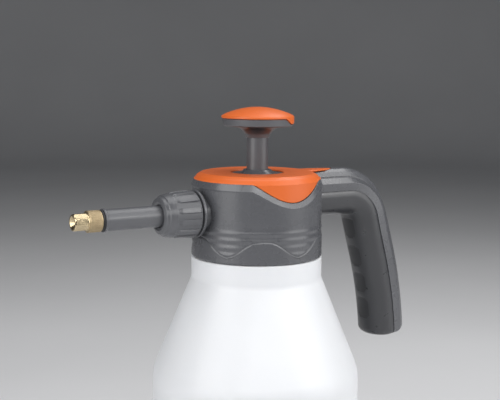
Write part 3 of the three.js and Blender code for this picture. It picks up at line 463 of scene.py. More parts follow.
head_look = moulded("head_satin_grey", GREY, 0.28, 0.00016, 0.0000015, wear=0.12)
lever_look = moulded("lever_satin_grey", scaled(GREY, 1.05), 0.28, 0.00016, 0.0000015, wear=0.3)
rod_look = moulded("rod_satin_grey", GREY, 0.38, 0.0002, 0.0000015)
# The knob's material carries painted shade on the flare under its disc.
knob_look = moulded("knob_satin_grey", GREY, 0.34, 0.00016, 0.0000015, wear=0.2, painted_shade_under_knob=True)
# The grip's material carries that painted shade in its colour; the finger dips take it darker still.
grip_look = moulded("grip_grey_painted_shade", GRIP_GREY_PAINTED_SHADE, 0.31, 0.0002, 0.000002, wear=0.2)
finger_look = moulded("grip_finger_recess", scaled(GRIP_GREY_PAINTED_SHADE, 0.7), 0.45, 0.0006, 0.00003, wear=0)
tube_look = moulded("tube_smooth_grey", GREY, 0.35, 0.0002, 0.0000015)
orange_look = moulded("orange_satin", ORANGE, 0.38, 0.00018, 0.000002, wear=0.25, cloud=0.03)
natural_look = moulded("natural_polypropylene", (0.72, 0.73, 0.74), 0.42, 0.0005, 0.00001, wear=0)
rubber_look = moulded("black_rubber", (0.018, 0.018, 0.02), 0.6, 0.0003, 0.00002, wear=0.1)
for look in (head_look, lever_look, rod_look, knob_look, grip_look, tube_look):
    look.shader.inputs["IOR"].default_value = GREY_IOR
orange_look.shader.inputs["IOR"].default_value = ORANGE_IOR
milk_look = bottle_look()
knurl_look = brass_look("brass_knurled", 0.46, False)
nose_look = brass_look("brass_turned", 0.2, True)
zinc_look = steel_look()

HEAD_FINISH = (head_look.material, "head_plastic")
LEVER_FINISH = (lever_look.material, "head_plastic")
GRIP_FINISH = (grip_look.material, "grip_plastic")
TUBE_FINISH = (tube_look.material, "tube_plastic")
ROD_FINISH = (rod_look.material, "head_plastic")
KNOB_FINISH = (knob_look.material, "head_plastic")
ORANGE_FINISH = (orange_look.material, "orange_plastic")
NATURAL_FINISH = (natural_look.material, "inner_plastic")
RUBBER_FINISH = (rubber_look.material, "seal_rubber")
BOTTLE_FINISH = (milk_look.material, "bottle_plastic")
BRASS_FINISH = (knurl_look.material, "nozzle_brass")
STEEL_FINISH = (zinc_look.material, "screw_steel")

# ---- bottle ----


def thread(height, angle, low, high, pitch):
    """0 to 1, how far a thread stands out at a height and angle, fading at both ends."""
    phase = ((height - low) / pitch - angle / (2 * math.pi)) % 1
    crest = smooth_step(0.12, 0.3, phase) * (1 - smooth_step(0.5, 0.68, phase))
    return crest * smooth_step(low, low + 1, height) * (1 - smooth_step(high - 1, high, height))


def bottle_profile(angle):
    """Half section of the bottle from its recessed base up, over the mouth, and down inside."""
    wall = BOTTLE_WALL
    knee = CONE_TOP - (BOTTLE_R - HEAD_R) / CONE_SLOPE
    outside = [
        (0, 1.2), (43, 1.2, 2), (46, 0, 1.5), (BOTTLE_R, 0, 9), (BOTTLE_R, knee, KNEE_FILLET),
        (HEAD_R, CONE_TOP, SHOULDER_FILLET), (HEAD_R, RIM - GAP, 0.8), (NECK_R, RIM - GAP, 0.6),
    ]
    low, high = RIM + 2, RIM + 14
    for height in spaced(low, high, 48):
        crest = thread(height, angle, low, high, THREAD_PITCH)
        outside.append((NECK_R + THREAD_DEPTH * crest, height, 0))
    inside = [
        (NECK_R, RIM + MOUTH_Z, 0.7), (MOUTH_R, RIM + MOUTH_Z, 0.7), (MOUTH_R, RIM - 3, 3),
        (HEAD_R - wall, CONE_TOP - 4, SHOULDER_FILLET), (BOTTLE_R - wall, knee, KNEE_FILLET),
        (BOTTLE_R - wall, wall + 1.2, 8), (0, wall + 1.2),
    ]
    return outside + inside


def build_bottle():
    dress(lathe(bottle_profile, BASE, 180), "bottle", "bottle", *BOTTLE_FINISH)
    gasket = ring(NECK_R, MOUTH_R + 0.4, MOUTH_Z + GAP, DECK_BOTTOM - GAP, HEAD, 0.5, 96)
    dress(gasket, "neck_gasket", "neck_gasket", *RUBBER_FINISH)


# ---- head and cover ----


def seam_height(angle):
    """Height of the cover's edge, which dips in a lobe on each side."""
    offset = min(abs(from_handle(angle) - LOBE_ANGLE) / LOBE_HALF_WIDTH, 1)
    return SEAM_Z - LOBE_DEPTH * max(math.cos(offset * math.pi / 2), 0) ** 1.15


def wave_height(angle):
    """Height of the wavy step round the skirt, which levels off under the handle."""
    offset = from_handle(angle) - WAVE_TROUGH
    share = offset / WAVE_HALF if offset > 0 else min(-offset / WAVE_LAST_HALF, 1)
    rise = math.sin(share * math.pi / 2) ** 2
    return WAVE_LOW + (WAVE_HIGH - WAVE_LOW) * (1 - (1 - rise) ** 1.4)


def ridges(height):
    """Soft rings round the wall above the wavy step."""
    ring = 0.5 + 0.5 * math.cos(2 * math.pi * (height - RIDGE_TOP) / RIDGE_PITCH)
    return RIDGE_RISE * ring * (1 - smooth_step(RIDGE_TOP - 0.2, RIDGE_TOP + 3.2, height))


def housing_profile(angle):
    """Half section of the head: up the outside, over the lip, round the deck, and down the thread."""
    wave, seam = wave_height(angle), seam_height(angle)
    lip_drop = 3.2 + 0.9 * (seam - SEAM_Z + LOBE_DEPTH) / LOBE_DEPTH
    outside = [(HEAD_R - 0.8, 0, 0.4), (HEAD_R, 0.8, 0.4)]
    outside += [(HEAD_R, wave * share, 0) for share in (0.25, 0.5, 0.75, 0.9)]
    step = ((0, -0.8), (-0.04, -0.68), (-0.25, -0.06), (-0.34, 0.02), (-0.5, 0.12), (-0.54, 0.4))
    outside += [(HEAD_R + out, wave + up, 0) for out, up in step]
    outside += [(WALL_R - 0.2 + ridges(height), height, 0) for height in spaced(wave + 0.9, 22, 40)]
    lip = [
        (WALL_R - 0.08, 26, 0), (WALL_R, seam - lip_drop - 0.9, 0),
        (HEAD_R, seam - lip_drop, 0.35), (LIP_R + 0.1, seam - 0.2, 0.35),
        (BORE_R, seam - 0.2, 0.3),
    ]
    deck = [
        (BORE_R, DECK_TOP, 0.8), (BARREL_R + 0.4, DECK_TOP, 0.3),
        (BARREL_R + 0.4, DECK_BOTTOM, 0.3), (BORE_R, DECK_BOTTOM, 1),
    ]
    inside = []
    low, high = 2, 14
    for height in spaced(high, low, 40):
        inside.append((BORE_R - 0.7 * thread(height, angle, low, high, THREAD_PITCH), height, 0))
    return outside + lip + deck + inside + [(BORE_R + 0.2, 0, 0.3)]


def handle_bracket():
    """Beam that carries the handle, and two ears that hold the lever's pin."""
    half_width, ear_wall, ear_reach = 8.2, 1.4, 3.4
    beam = block((BORE_R - 0.8, -half_width, 27), (56, half_width, 36.5), HEAD)
    pieces = [softened(beam, 0.8)]
    for side in (-1, 1):
        near, far = sorted((side * (half_width - ear_wall), side * half_width))
        ear = block((PIVOT_X - ear_reach, near, 35), (PIVOT_X + ear_reach, far, 42.8), HEAD)
        pieces.append(softened(ear, 0.4))
    return pieces


def across(x, z):
    """Placing matrix of a turned piece whose axis crosses the head along Y."""
    sideways = Matrix.Rotation(math.pi / 2, 4, "X")
    return Matrix.Translation((x * MM, 0, NECK_Z + z * MM)) @ sideways @ MILLIMETRES


def upright(x, z=0):
    """Placing matrix of a turned piece that stands in the head."""
    return Matrix.Translation((x * MM, 0, NECK_Z + z * MM)) @ MILLIMETRES


def build_head():
    housing = joined(lathe(housing_profile, HEAD, 360), *handle_bracket())
    notch = block((BORE_R - 2, -NOTCH_HALF_WIDTH, 37), (HEAD_R + 2, NOTCH_HALF_WIDTH, COVER_Z + 4), HEAD)
    valve_hole_r, socket_hole_r = 4.5, 10.7
    cut(
        housing,
        softened(notch, 0.6),
        rod(valve_hole_r, DECK_BOTTOM - 2, DECK_TOP + 2, VALVE),
        rod(socket_hole_r, BORE_R - 4, HEAD_R + 2, SPRAY, 64),
        rod(SCREW_R + 0.15, 26, 35, upright(BRACKET_SCREW_X)),
        rod(PIN_R + 0.05, -12, 12, across(PIVOT_X, PIVOT_Z)),
    )
    dress(housing, "head_housing", "head", *HEAD_FINISH)


def cover_profile(angle):
    """Half section of the cover, whose edge stays a little higher beside the handle."""
    near_handle = 1 - smooth_step(LOBE_ANGLE - 22, LOBE_ANGLE + 4, from_handle(angle))
    edge = seam_height(angle) + 0.05 + 0.5 * near_handle
    inner, under = LIP_R - COVER_WALL, COVER_Z - COVER_WALL
    return [
        (COVER_HOLE_R, COVER_Z, 0.5), (COVER_FLAT_R, COVER_Z, 2.2), (36.3, 48.75, 3),
        (LIP_R, 46.1, 0.5), (LIP_R, edge, 0.3), (inner, edge, 0.3), (inner, 45.9, 0.5),
        (COVER_FLAT_R - 0.5, under, 1), (COVER_HOLE_R, under, 0.3),
    ]


def tongue(margin, low, high):
    """Pointed strip of the cover that lies on the root of the lever."""
    half, waist = 5.6 + margin, 2.4 + margin
    side = [
        (COVER_FLAT_R - 3, half), (LIP_R + 2, half), (TONGUE_TIP - 5 + margin, waist),
        (TONGUE_TIP + margin, 0),
    ]
    outline = side + [(x, -y) for x, y in reversed(side[:-1])]
    corners = rounded([(x, y, 2.5 if x > COVER_FLAT_R else 0) for x, y in outline], True)
    return skin([[(x, y, z) for x, y in corners] for z in (low, high)], HEAD, False, True)


def build_cover():
    cover = lathe(cover_profile, HEAD, 360)
    cut(cover, block((30, -NOTCH_HALF_WIDTH, 30), (LIP_R + 2, NOTCH_HALF_WIDTH, 47.6), HEAD))
    joined(cover, softened(tongue(0, COVER_Z - 1.3, COVER_Z - 0.2), 0.35))
    dress(cover, "top_cover", "head", *ORANGE_FINISH)


# ---- pump ----


def build_barrel():
    """Barrel with four inlet ports in its floor, the seal under its flange, and its check valve."""
    floor = BARREL_BOTTOM + 2
    port_circle_r, port_r = 6, 1.2
    barrel = lathe(
        [
            (2.3, BARREL_BOTTOM), (BARREL_R, BARREL_BOTTOM, 0.8), (BARREL_R, 22.6, 0.2),
            (BARREL_R + 2.6, 22.6), (BARREL_R + 2.6, 24.6), (BARREL_R, 24.6),
            (BARREL_R, BARREL_TOP), (BARREL_BORE_R, BARREL_TOP), (BARREL_BORE_R, floor, 0.8),
            (2.3, floor),
        ],
        HEAD,
        96,
    )
    for i in range(4):
        angle = (i + 0.5) * math.pi / 2
        out = port_circle_r * MM
        port = Matrix.Translation((out * math.cos(angle), out * math.sin(angle), 0)) @ HEAD
        cut(barrel, rod(port_r, BARREL_BOTTOM - 1, floor + 1, port, 24))
    dress(barrel, "pump_barrel", "head", *NATURAL_FINISH)
    seal = ring(BARREL_R + 2.2, BARREL_R + GAP, DECK_TOP + GAP, 22.3, HEAD, 0.5)
    dress(seal, "barrel_seal", "head", *RUBBER_FINISH)
    under, above = BARREL_BOTTOM - GAP, floor + GAP
    flap = [
        (0, under - 2.2), (4, under - 2, 2), (8.6, under - 0.8), (8.6, under, 0.2), (2, under),
        (2, above), (2.8, above), (1.6, above + 1.5, 0.8), (0, above + 1.8),
    ]
    dress(lathe(flap, HEAD, 48), "barrel_check_valve", "head", *RUBBER_FINISH)


def build_guide_cap():
    top = COVER_Z - 0.6
    profile = [
        (6.8, 39), (BARREL_BORE_R - 0.2, 39, 0.5), (BARREL_BORE_R - 0.2, BARREL_TOP + GAP),
        (15.5, BARREL_TOP + GAP), (15.5, top, 0.5), (10.6, top, 1.5), (8.9, top + 1.3, 1.2),
        (8.2, top + 2.2, 0.4), (6.8, top + 2.2, 0.3),
    ]
    dress(lathe(profile, HEAD, 96), "pump_guide_cap", "head", *HEAD_FINISH)


def build_plunger():
    """Piston at the bottom of its stroke, its seal ring, and the rod up to the knob."""
    low, high = -69, -61
    groove = (low + 2.6, high - 2.4)
    piston = [
        (0, low), (12.4, low, 0.5), (12.4, groove[0]), (10.6, groove[0]), (10.6, groove[1]),
        (12.4, groove[1]), (12.4, high, 0.5), (4.5, high, 0.5), (4.5, high + 9), (0, high + 9),
    ]
    dress(lathe(piston, HEAD, 64), "piston_head", "plunger", *NATURAL_FINISH)
    lip = [
        (10.8, groove[0] + 0.2, 0.3), (BARREL_BORE_R - 0.15, groove[0] + 0.2, 0.3),
        (BARREL_BORE_R - 0.6, groove[1] - 0.2, 0.3), (10.8, groove[1] - 0.2, 0.3),
    ]
    dress(lathe(lip, HEAD, 64), "piston_seal", "piston_ring", *RUBBER_FINISH)
    shaft = ring(ROD_R, 4.8, high + GAP, KNOB_SPLIT - 1.6, HEAD, 0.3, 96)
    dress(shaft, "pump_rod", "plunger", *ROD_FINISH)


def knob_seam(angle):
    """Height of the knob's seam, which steps down over the handle's side."""
    return KNOB_SPLIT - 3.2 * (1 - smooth_step(51, 74, from_handle(angle)))


def knob_base_profile(angle):
    seam, bottom, bore = knob_seam(angle) - 0.15, COLLAR_TOP - 0.2, ROD_R + 0.1
    return [
        (bore, COLLAR_LOW, 0.2), (7.1, COLLAR_LOW, 0.2), (7.9, 73.2, 4), (10.2, 76, 5),
        (14.6, bottom, 3), (KNOB_BASE_R - 0.7, bottom, 1.1), (KNOB_BASE_R, seam - 0.5, 0.2),
        (KNOB_BASE_R - 0.35, seam, 0.2), (KNOB_BASE_R - 4, seam, 0.3),
        (KNOB_BASE_R - 6, KNOB_SPLIT - GAP, 0.3), (bore, KNOB_SPLIT - GAP, 0.3),
    ]


def knob_cap_profile(angle):
    seam, rim = knob_seam(angle), KNOB_SPLIT + 1.3
    dome, steps = [], 12
    for i in range(1, steps + 1):
        radius = (KNOB_R - 0.5) * (1 - i / steps)
        dome.append((radius, KNOB_TOP - (KNOB_TOP - rim - 0.25) * (radius / KNOB_R) ** 2, 0))
    return [
        (0, KNOB_TOP - 2.5), (KNOB_R * 0.6, rim + 1, 3), (KNOB_R - 2, rim - 0.8, 1),
        (KNOB_R - 2, seam, 0.2), (KNOB_R, seam, 0.35), (KNOB_R, rim, 0.9),
    ] + dome


def build_knob():
    dress(lathe(knob_base_profile, HEAD, 240), "knob_base", "plunger", *KNOB_FINISH)
    dress(lathe(knob_cap_profile, HEAD, 240), "knob_cap", "plunger", *ORANGE_FINISH)


# ---- spray line ----


def build_socket():
    inner, flange = BORE_R - 0.2, 43.6
    socket = lathe(
        [
            (0, inner), (10.4, inner), (10.4, flange - 2.2, 0.3), (13.2, flange - 2.2, 0.5),
            (13.9, flange - 1.4, 0.5), (13.9, flange, 0.4), (STUB_R, flange, 0.2), (STUB_R, 57),
            (TUBE_R + GAP, 57), (TUBE_R + GAP, 46), (0, 46),
        ],
        SPRAY,
        96,
    )
    elbow_x, nozzle_height = -27.5, (NOZZLE_Z - NECK_Z) / MM
    side = across(elbow_x, nozzle_height)
    joined(socket, rod(3.4, -elbow_x, inner + 1, SPRAY), rod(3.4, -4, 3.4, side), rod(2.2, 0, 10.5, side))
    cut(socket, rod(1.8, -elbow_x - 0.5, 47, SPRAY), rod(1.3, 0, 12, side))
    dress(socket, "spray_tube_socket", "head", *HEAD_FINISH)


def nut_profile(angle):
    """Half section of the nut, which stands out in pads with rounded ends."""
    pitch = 360 / NUT_PADS
    offset = abs((math.degrees(angle) - NUT_PAD_TURN + pitch / 2) % pitch - pitch / 2)
    pad = 1 - smooth_step(6.4, 8, offset)
    end = 58.9 - 0.9 * (offset / 8) ** 2
    start, collar = 44.4, 62.3
    profile = [(STUB_R + 0.4, start, 0.2), (12.9, start, 0.3), (13.3, start + 0.5, 0.2)]
    for x in spaced(start + 0.8, 60.2, 20):
        floor = 13 - 0.45 * (x - start) / 15
        top = 14.05 - 0.85 * (x - start) / 15
        rise = pad * smooth_step(start + 0.6, start + 1.2, x) * (1 - smooth_step(end - 0.7, end + 0.3, x))
        profile.append((floor + (top - floor) * rise, x, 0))
    profile += [
        (12.9, 60.2, 0.3), (12.5, collar, 1), (11.9, 64.2, 0.7), (11.2, 64.6, 0.2),
        (10.6, 66.2, 0.8), (8.4, 67, 0.5), (TUBE_R + GAP, 66.4, 0.3), (TUBE_R + GAP, 60),
        (STUB_R + 0.4, 60),
    ]
    return profile


def build_nut():
    steps = (-8, -7.4, -6.9, -6.4, -4, 0, 4, 6.4, 6.9, 7.4, 8, 11.5, 15, 18.5)
    pitch = 360 / NUT_PADS
    angles = [math.radians(NUT_PAD_TURN + i * pitch + step) for i in range(NUT_PADS) for step in steps]
    dress(lathe(nut_profile, SPRAY, angles), "union_nut", "union_nut", *TUBE_FINISH)
    seal = ring(STUB_R - 0.2, TUBE_R + 0.15, 57.3, 59.7, SPRAY, 0.4)
    dress(seal, "tube_seal", "head", *RUBBER_FINISH)


def build_tube():
    profile = [
        (2.8, 47), (TUBE_R, 47, 0.4), (TUBE_R, 99.6, 0.3), (TUBE_R + 0.35, 100, 0.2),
        (TUBE_R + 0.4, 101.2, 0.35), (4.6, 101.2), (4.6, 108, 0.4), (2.8, 108),
    ]
    dress(lathe(profile, SPRAY, 96), "spray_tube", "head", *TUBE_FINISH)
    seal = ring(TUBE_R - 0.1, 4.75, 101.4, 102.5, SPRAY, 0.5)
    dress(seal, "nozzle_seal", "head", *RUBBER_FINISH)
    insert = [(0, 97), (2.6, 97, 0.3), (2.6, 108, 0.3), (1.6, 111.2, 0.4), (0, 111.3)]
    core = lathe(insert, SPRAY, 48)
    for side in (-1, 1):
        near, far = sorted((side * 1.9, side * 4))
        cut(core, block((-4, near, 96), (4, far, 109), SPRAY))
    dress(core, "nozzle_insert", "head", *NATURAL_FINISH)


def nozzle_profile(angle):
    """Half section of the nozzle cap: a diamond knurl, an eight-sided nose and the spray hole."""
    knurl = []
    low, high = KNURL_LOW, KNURL_HIGH
    for x in spaced(low, high, 52):
        turn = angle * KNURL_RIBS
        along = (x - low) * 2 * math.pi / KNURL_PITCH
        diamond = max(abs(math.sin((turn + along) / 2)), abs(math.sin((turn - along) / 2)))
        fade = smooth_step(low, low + 0.3, x) * (1 - smooth_step(high - 0.3, high, x))
        knurl.append((KNURL_R - 0.02 - KNURL_DEPTH * (1 - diamond**2) * fade, x, 0))
    sector = 2 * math.pi / NOSE_SIDES
    offset = (angle - math.radians(NOSE_TURN)) % sector - sector / 2
    flat_distance, corner_r = 4.72, 4.98
    nose = min(flat_distance / math.cos(offset), corner_r)
    chamfer = smooth_step(4.7, 5, nose) * 0.1
    return (
        [(5, 102.7, 0.1), (KNURL_R - 0.25, 102.7, 0.2), (KNURL_R, 103, 0.2)]
        + knurl
        + [
            (KNURL_R, 110.2, 0.2), (KNURL_R - 0.4, 110.6, 0.15), (5.1, 110.6, 0.1),
            (4.8, 110.9, 0.1), (nose, 111.3, 0.15), (nose, 118 - chamfer, 0.15),
            (4.45, 118.7, 0.2), (3.6, 118.7, 0.2), (0.8, 116.3, 0.2), (0.6, 113.5, 0.1),
            (2.4, 112.3, 0.3), (5, 108.6, 0.3),
        ]
    )


def build_nozzle():
    """Nozzle cap with dull brass on the knurl and turned brass in front of it and behind it."""
    cap = dress(lathe(nozzle_profile, SPRAY, 360), "nozzle_cap", "nozzle", *BRASS_FINISH)
    cap.data.materials.append(nose_look.material)
    front, back = (KNURL_HIGH + 0.7) * MM, (KNURL_LOW - 0.35) * MM
    for face in cap.data.polygons:
        face.material_index = int(not back <= -face.center.x <= front)


# ---- valve and suction line ----


def build_valve():
    """Valve body with an outlet stub for the hose, its cap, and the stem with its seal."""
    outlet_z = 29
    side = across(VALVE_X / MM, outlet_z)
    body = lathe(
        [
            (1.4, 8), (2.1, 8, 0.3), (2.1, 17), (4.2, 17), (4.2, 21.1), (6, 21.1), (6, 36),
            (4.4, 36), (4.4, 23, 0.5), (1.4, 23),
        ],
        VALVE,
        48,
    )
    joined(body, rod(2.2, 4.9, 10.5, side))
    cut(body, rod(1.3, 2.9, 12, side))
    dress(body, "valve_body", "head", *NATURAL_FINISH)
    cap = [(1.55, 33.6), (4.25, 33.6), (4.25, 36.3), (6, 36.3), (5.6, 38.6, 0.6), (1.55, 38.6)]
    dress(lathe(cap, VALVE, 48), "valve_cap", "head", *NATURAL_FINISH)
    stem = [
        (0, 24.6), (3.3, 24.6), (3.3, 25.6), (1.4, 25.6), (1.4, 43.3), (3, 43.3),
        (2.8, 44.8, 0.6), (0, 44.8),
    ]
    dress(lathe(stem, VALVE, 48), "valve_stem", "valve_stem", *STEEL_FINISH)
    seal = [(0, 23.1), (3.4, 23.1, 0.4), (3.4, 24.4, 0.4), (0, 24.4)]
    dress(lathe(seal, VALVE, 48), "valve_seal", "valve_stem", *RUBBER_FINISH)


def build_spring():
    """Closing spring of the valve, which shortens as the valve opens."""
    low, high, turns, radius, wire = 26.1, 33.1, 4, 2.7, 0.34
    rows, steps = [], 24 * turns
    for i in range(steps + 1):
        share = i / steps
        angle = 2 * math.pi * turns * share
        out = Vector((math.cos(angle), math.sin(angle), 0))
        centre = out * radius + Vector((0, 0, low + (high - low) * share))
        row = []
        for k in range(10):
            around = 2 * math.pi * k / 10
            row.append(centre + wire * (out * math.cos(around) + Vector((0, 0, math.sin(around)))))
        rows.append(row)
    spring = dress(skin(rows, VALVE, False, True), "valve_spring", "head", *STEEL_FINISH)
    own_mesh(spring)


def build_suction():
    bottom, top = 4.5 - RIM, 20 - RIM
    dress(ring(3.3, 2.3, top - 6, DECK_BOTTOM - 2, VALVE, 0.2, 48), "dip_tube", "head", *NATURAL_FINISH)
    strainer = lathe(
        [
            (0, bottom), (4.4, bottom, 0.5), (5, bottom + 0.8, 0.3), (5, top - 2, 0.5),
            (4.2, top), (3.45, top), (3.45, bottom + 1.4), (0, bottom + 1.4),
        ],
        VALVE,
        64,
    )
    for i in range(6):
        turn = VALVE @ Matrix.Rotation(i * math.pi / 6, 4, "Z")
        cut(strainer, softened(block((-7, -0.55, bottom + 2.2), (7, 0.55, bottom + 8.2), turn), 0.3))
    dress(strainer, "suction_filter", "head", *NATURAL_FINISH)


# ---- handle ----

LEVEL_END = BEND_X - HANDLE_X
BEND_END = LEVEL_END + BEND_R * BEND_TURN
CURL_START = BEND_END + STRAIGHT
HANDLE_RUNS = ((LEVEL_END, 0), (BEND_R * BEND_TURN, 1 / BEND_R), (STRAIGHT, 0), (CURL_R, 1 / CURL_R))


def handle_frame(distance):
    """X, Z and downward slope of the handle's centre line at a distance along it."""
    x, z, slope = HANDLE_X, HANDLE_Z, 0
    for length, bend in HANDLE_RUNS:
        step = min(distance, length)
        after = slope + step * bend
        if bend:
            x += (math.sin(after) - math.sin(slope)) / bend
            z += (math.cos(after) - math.cos(slope)) / bend
        else:
            x += step * math.cos(slope)
            z -= step * math.sin(slope)
        slope = after
        distance -= step
    return x, z, slope


def end_slope():
    """Slope of the centre line where it reaches the height of the handle's free end."""
    z, slope = handle_frame(CURL_START)[1:]
    return math.acos((HANDLE_END_Z - z) / CURL_R + math.cos(slope))


HANDLE_LENGTH = CURL_START + CURL_R * (end_slope() - BEND_TURN)
LEVER_END = LEVEL_END + BEND_R * math.radians(61)
SLOT_END = LEVER_END + 1.6
SCREW_PLACES = (CURL_START - 14, HANDLE_LENGTH - 18)
BROW_DEPTH = 3.75  # depth at which the rounded underside of the grip begins
TRACK = [(distance, *handle_frame(distance)) for distance in range(50, int(HANDLE_LENGTH))]


def handle_point(distance, depth, side):
    """A point of the handle. Depth grows towards the bottle's side and is 0 on the centre line."""
    x, z, slope = handle_frame(distance)
    return (x - depth * math.sin(slope), side, z - depth * math.cos(slope))


def at_root(point, radius=WALL_R + 0.1):
    """Moves a point of the handle's or the lever's root onto a cylinder round the head's axis."""
    return (math.sqrt(radius**2 - point[1] ** 2), point[1], point[2])


def blended(root, grip, share):
    """Corners part of the way from the root's section to the grip's."""
    return [tuple(a + (b - a) * share for a, b in zip(p, q)) for p, q in zip(root, grip)]


# Half sections as (depth, side, fillet), from the parting line to the middle of the back.
SHELL_AT_ROOT = [
    (-1.8, 13.2, 0.15), (-6.8, 13.4, 0.5), (-9.5, 8.6, 0.5), (-9.9, SLOT_HALF_WIDTH, 0),
    (-12.7, 5.6, 1), (-14.0, 2.8, 2), (-SHELL_DEPTH, 0, 0),
]
SHELL_AT_GRIP = [
    (-0.1, 13.9, 0.2), (-6.2, 13.0, 3), (-10.6, 9.4, 3), (-11.9, SLOT_HALF_WIDTH, 0),
    (-13.2, 4.9, 2), (-14.0, 2.5, 2), (-SHELL_DEPTH, 0, 0),
]
SLOT_EDGE_CORNER = 3  # place of the slot's edge in both sections


def half_section(corners):
    """Rounded half outline, and the index in it of the slot's edge."""
    points = rounded(corners, False)
    first = FILLET_STEPS + 1
    return points, 1 + first * (SLOT_EDGE_CORNER - 1)


def shell_section(distance):
    share = smooth_step(LEVEL_END, BEND_END + 12, distance)
    return half_section(blended(SHELL_AT_ROOT, SHELL_AT_GRIP, share))


def finger_dip(distance, turn):
    """0 to 1, how deep the grip is sunk for a finger, by distance along it and angle round it."""
    across = (math.pi / 2 - turn) / FINGER_REACH
    nearest = min((abs(distance - middle) / half) ** 3 + across**3 for middle, half in FINGER_PLACES)
    return 1 - smooth_step(0.75, 1.05, nearest)


def grip_section(distance):
    """Half section of the grip, whose inner corner is tighter than the bend of the handle."""
    share = smooth_step(LEVEL_END, BEND_END + 12, distance)
    edge = 1.7 * (share - 1)
    turn = (distance - LEVEL_END) / BEND_R
    near_corner = BEND_TURN / 2 - math.hypot(turn - BEND_TURN / 2, math.radians(7))
    inner_radius = (BEND_R - GRIP_DEPTH) / math.cos(max(near_corner, 0))
    depth = BEND_R - inner_radius
    brow = edge + 3.6
    points = [(edge, 13.4), (edge + 0.05, 13.55)]
    for i in range(6):
        drop = 3.4 * (1 - i / 6)
        points.append((brow - drop, GRIP_HALF_WIDTH - 10 + math.sqrt(100 - drop * drop)))
    for i in range(25):
        angle = math.pi / 2 * i / 24
        reach = 1 - FINGER_DEPTH * finger_dip(distance, angle) / GRIP_DEPTH
        down = (depth - brow) * math.sin(angle) * reach
        points.append((brow + down, GRIP_HALF_WIDTH * math.cos(angle) * reach))
    return points, None


def whole(half):
    """A half section with its mirror image."""
    return half + [(depth, -side) for depth, side in reversed(half[:-1])]


def inset(section, distance):
    """The section drawn in by a distance from its outline."""
    scale = 1 - distance / GRIP_HALF_WIDTH
    edge = section[0][0]
    return [(edge + (depth - edge) * scale, side * scale) for depth, side in section]


def handle_stations():
    """Distances along the handle, the first one for the root that meets the head's wall."""
    stations = [HEAD_R - HANDLE_X - 3, HEAD_R - HANDLE_X + 0.2]
    while stations[-1] < HANDLE_LENGTH - 5.5:
        stations.append(stations[-1] + (1.0 if stations[-1] > LEVEL_END - 4 else 2.2))
    return stations


def handle_half(section_at, slotted):
    """One hollow half of the handle: an outer skin to the rounded free end, an inner skin that stops
    short of it, and, if slotted, an open slot along the back for the lever."""
    stations = handle_stations()
    cavity_end = len(stations) - 1
    insets = [0] * len(stations)
    for degrees in (0, 20, 40, 60, 75, 90):
        angle = math.radians(degrees)
        stations.append(HANDLE_LENGTH - HANDLE_END_FILLET * (1 - math.sin(angle)))
        insets.append(HANDLE_END_FILLET * (1 - math.cos(angle)))
    vertices = []
    outer, inner = [], []
    slot_station = min(range(len(stations)), key=lambda i: abs(stations[i] - SLOT_END))
    stations[slot_station] = SLOT_END
    for i, distance in enumerate(stations):
        half, edge = section_at(distance)
        section = whole(half)
        for skin_rows, drawn_in in ((outer, insets[i]), (inner, HANDLE_WALL)):
            if skin_rows is inner and i > cavity_end:
                continue
            row = []
            for depth, side in inset(section, drawn_in):
                point = handle_point(distance, depth, side)
                row.append(len(vertices))
                vertices.append(at_root(point) if i == 0 else point)
            skin_rows.append(row)
    width = len(outer[0])
    near, far = (edge, width - 1 - edge) if slotted else (0, 0)
    faces = []

    def strip(rows, last, columns, opened):
        for i in range(last):
            for j in columns:
                if opened and i < slot_station and near <= j < far:
                    continue
                faces.append((rows[i][j], rows[i][j + 1], rows[i + 1][j + 1], rows[i + 1][j]))

    strip(outer, len(outer) - 1, range(width - 1), slotted)
    strip(inner, cavity_end, range(width - 1), slotted)
    for i in range(cavity_end):
        for j in (0, width - 1):
            faces.append((outer[i][j], inner[i][j], inner[i + 1][j], outer[i + 1][j]))
        if slotted and i < slot_station:
            for j in (near, far):
                faces.append((outer[i][j], inner[i][j], inner[i + 1][j], outer[i + 1][j]))
    if slotted:
        back = range(near, far + 1)
        outer_edge, inner_edge = outer[slot_station], inner[slot_station]
        faces.append([outer_edge[j] for j in back] + [inner_edge[j] for j in reversed(back)])
    for start, stop in ((0, near), (far, width - 1)) if slotted else ((0, width - 1),):
        rim = range(start, stop + 1)
        faces.append([outer[0][j] for j in rim] + [inner[0][j] for j in reversed(rim)])
    faces.append(list(inner[cavity_end]))
    a, b = outer[cavity_end], outer[cavity_end + 1]
    faces.append([a[0], inner[cavity_end][0], inner[cavity_end][-1], a[-1], b[-1], b[0]])
    for i in range(cavity_end + 1, len(outer) - 1):
        faces.append((outer[i][0], outer[i][-1], outer[i + 1][-1], outer[i + 1][0]))
    faces.append(list(outer[-1]))
    return mesh_object([MILLIMETRES @ Vector(v) + Vector((0, 0, NECK_Z)) for v in vertices], faces)


def through_handle(distance):
    """Placing matrix of a turned piece whose axis crosses the handle, its height being the depth."""
    x, z, slope = handle_frame(distance)
    return (
        Matrix.Translation((x * MM, 0, NECK_Z + z * MM))
        @ Matrix.Rotation(math.pi + slope, 4, "Y")
        @ MILLIMETRES
    )


def in_finger_dip(place):
    """Whether a point of the grip's mesh lies on its outer skin in the sunk part of a finger dip."""
    x, y, z = place.x / MM, place.y / MM, place.z / MM - RIM
    distance, x0, z0, slope = min(TRACK, key=lambda spot: (spot[1] - x) ** 2 + (spot[2] - z) ** 2)
    depth = (x0 - x) * math.sin(slope) + (z0 - z) * math.cos(slope)
    down = (depth - BROW_DEPTH) / (GRIP_DEPTH - BROW_DEPTH)
    outside = math.hypot(down, y / GRIP_HALF_WIDTH) > 0.92
    turn = math.atan2(down, abs(y) / GRIP_HALF_WIDTH)
    return outside and finger_dip(distance, turn) > 0.5


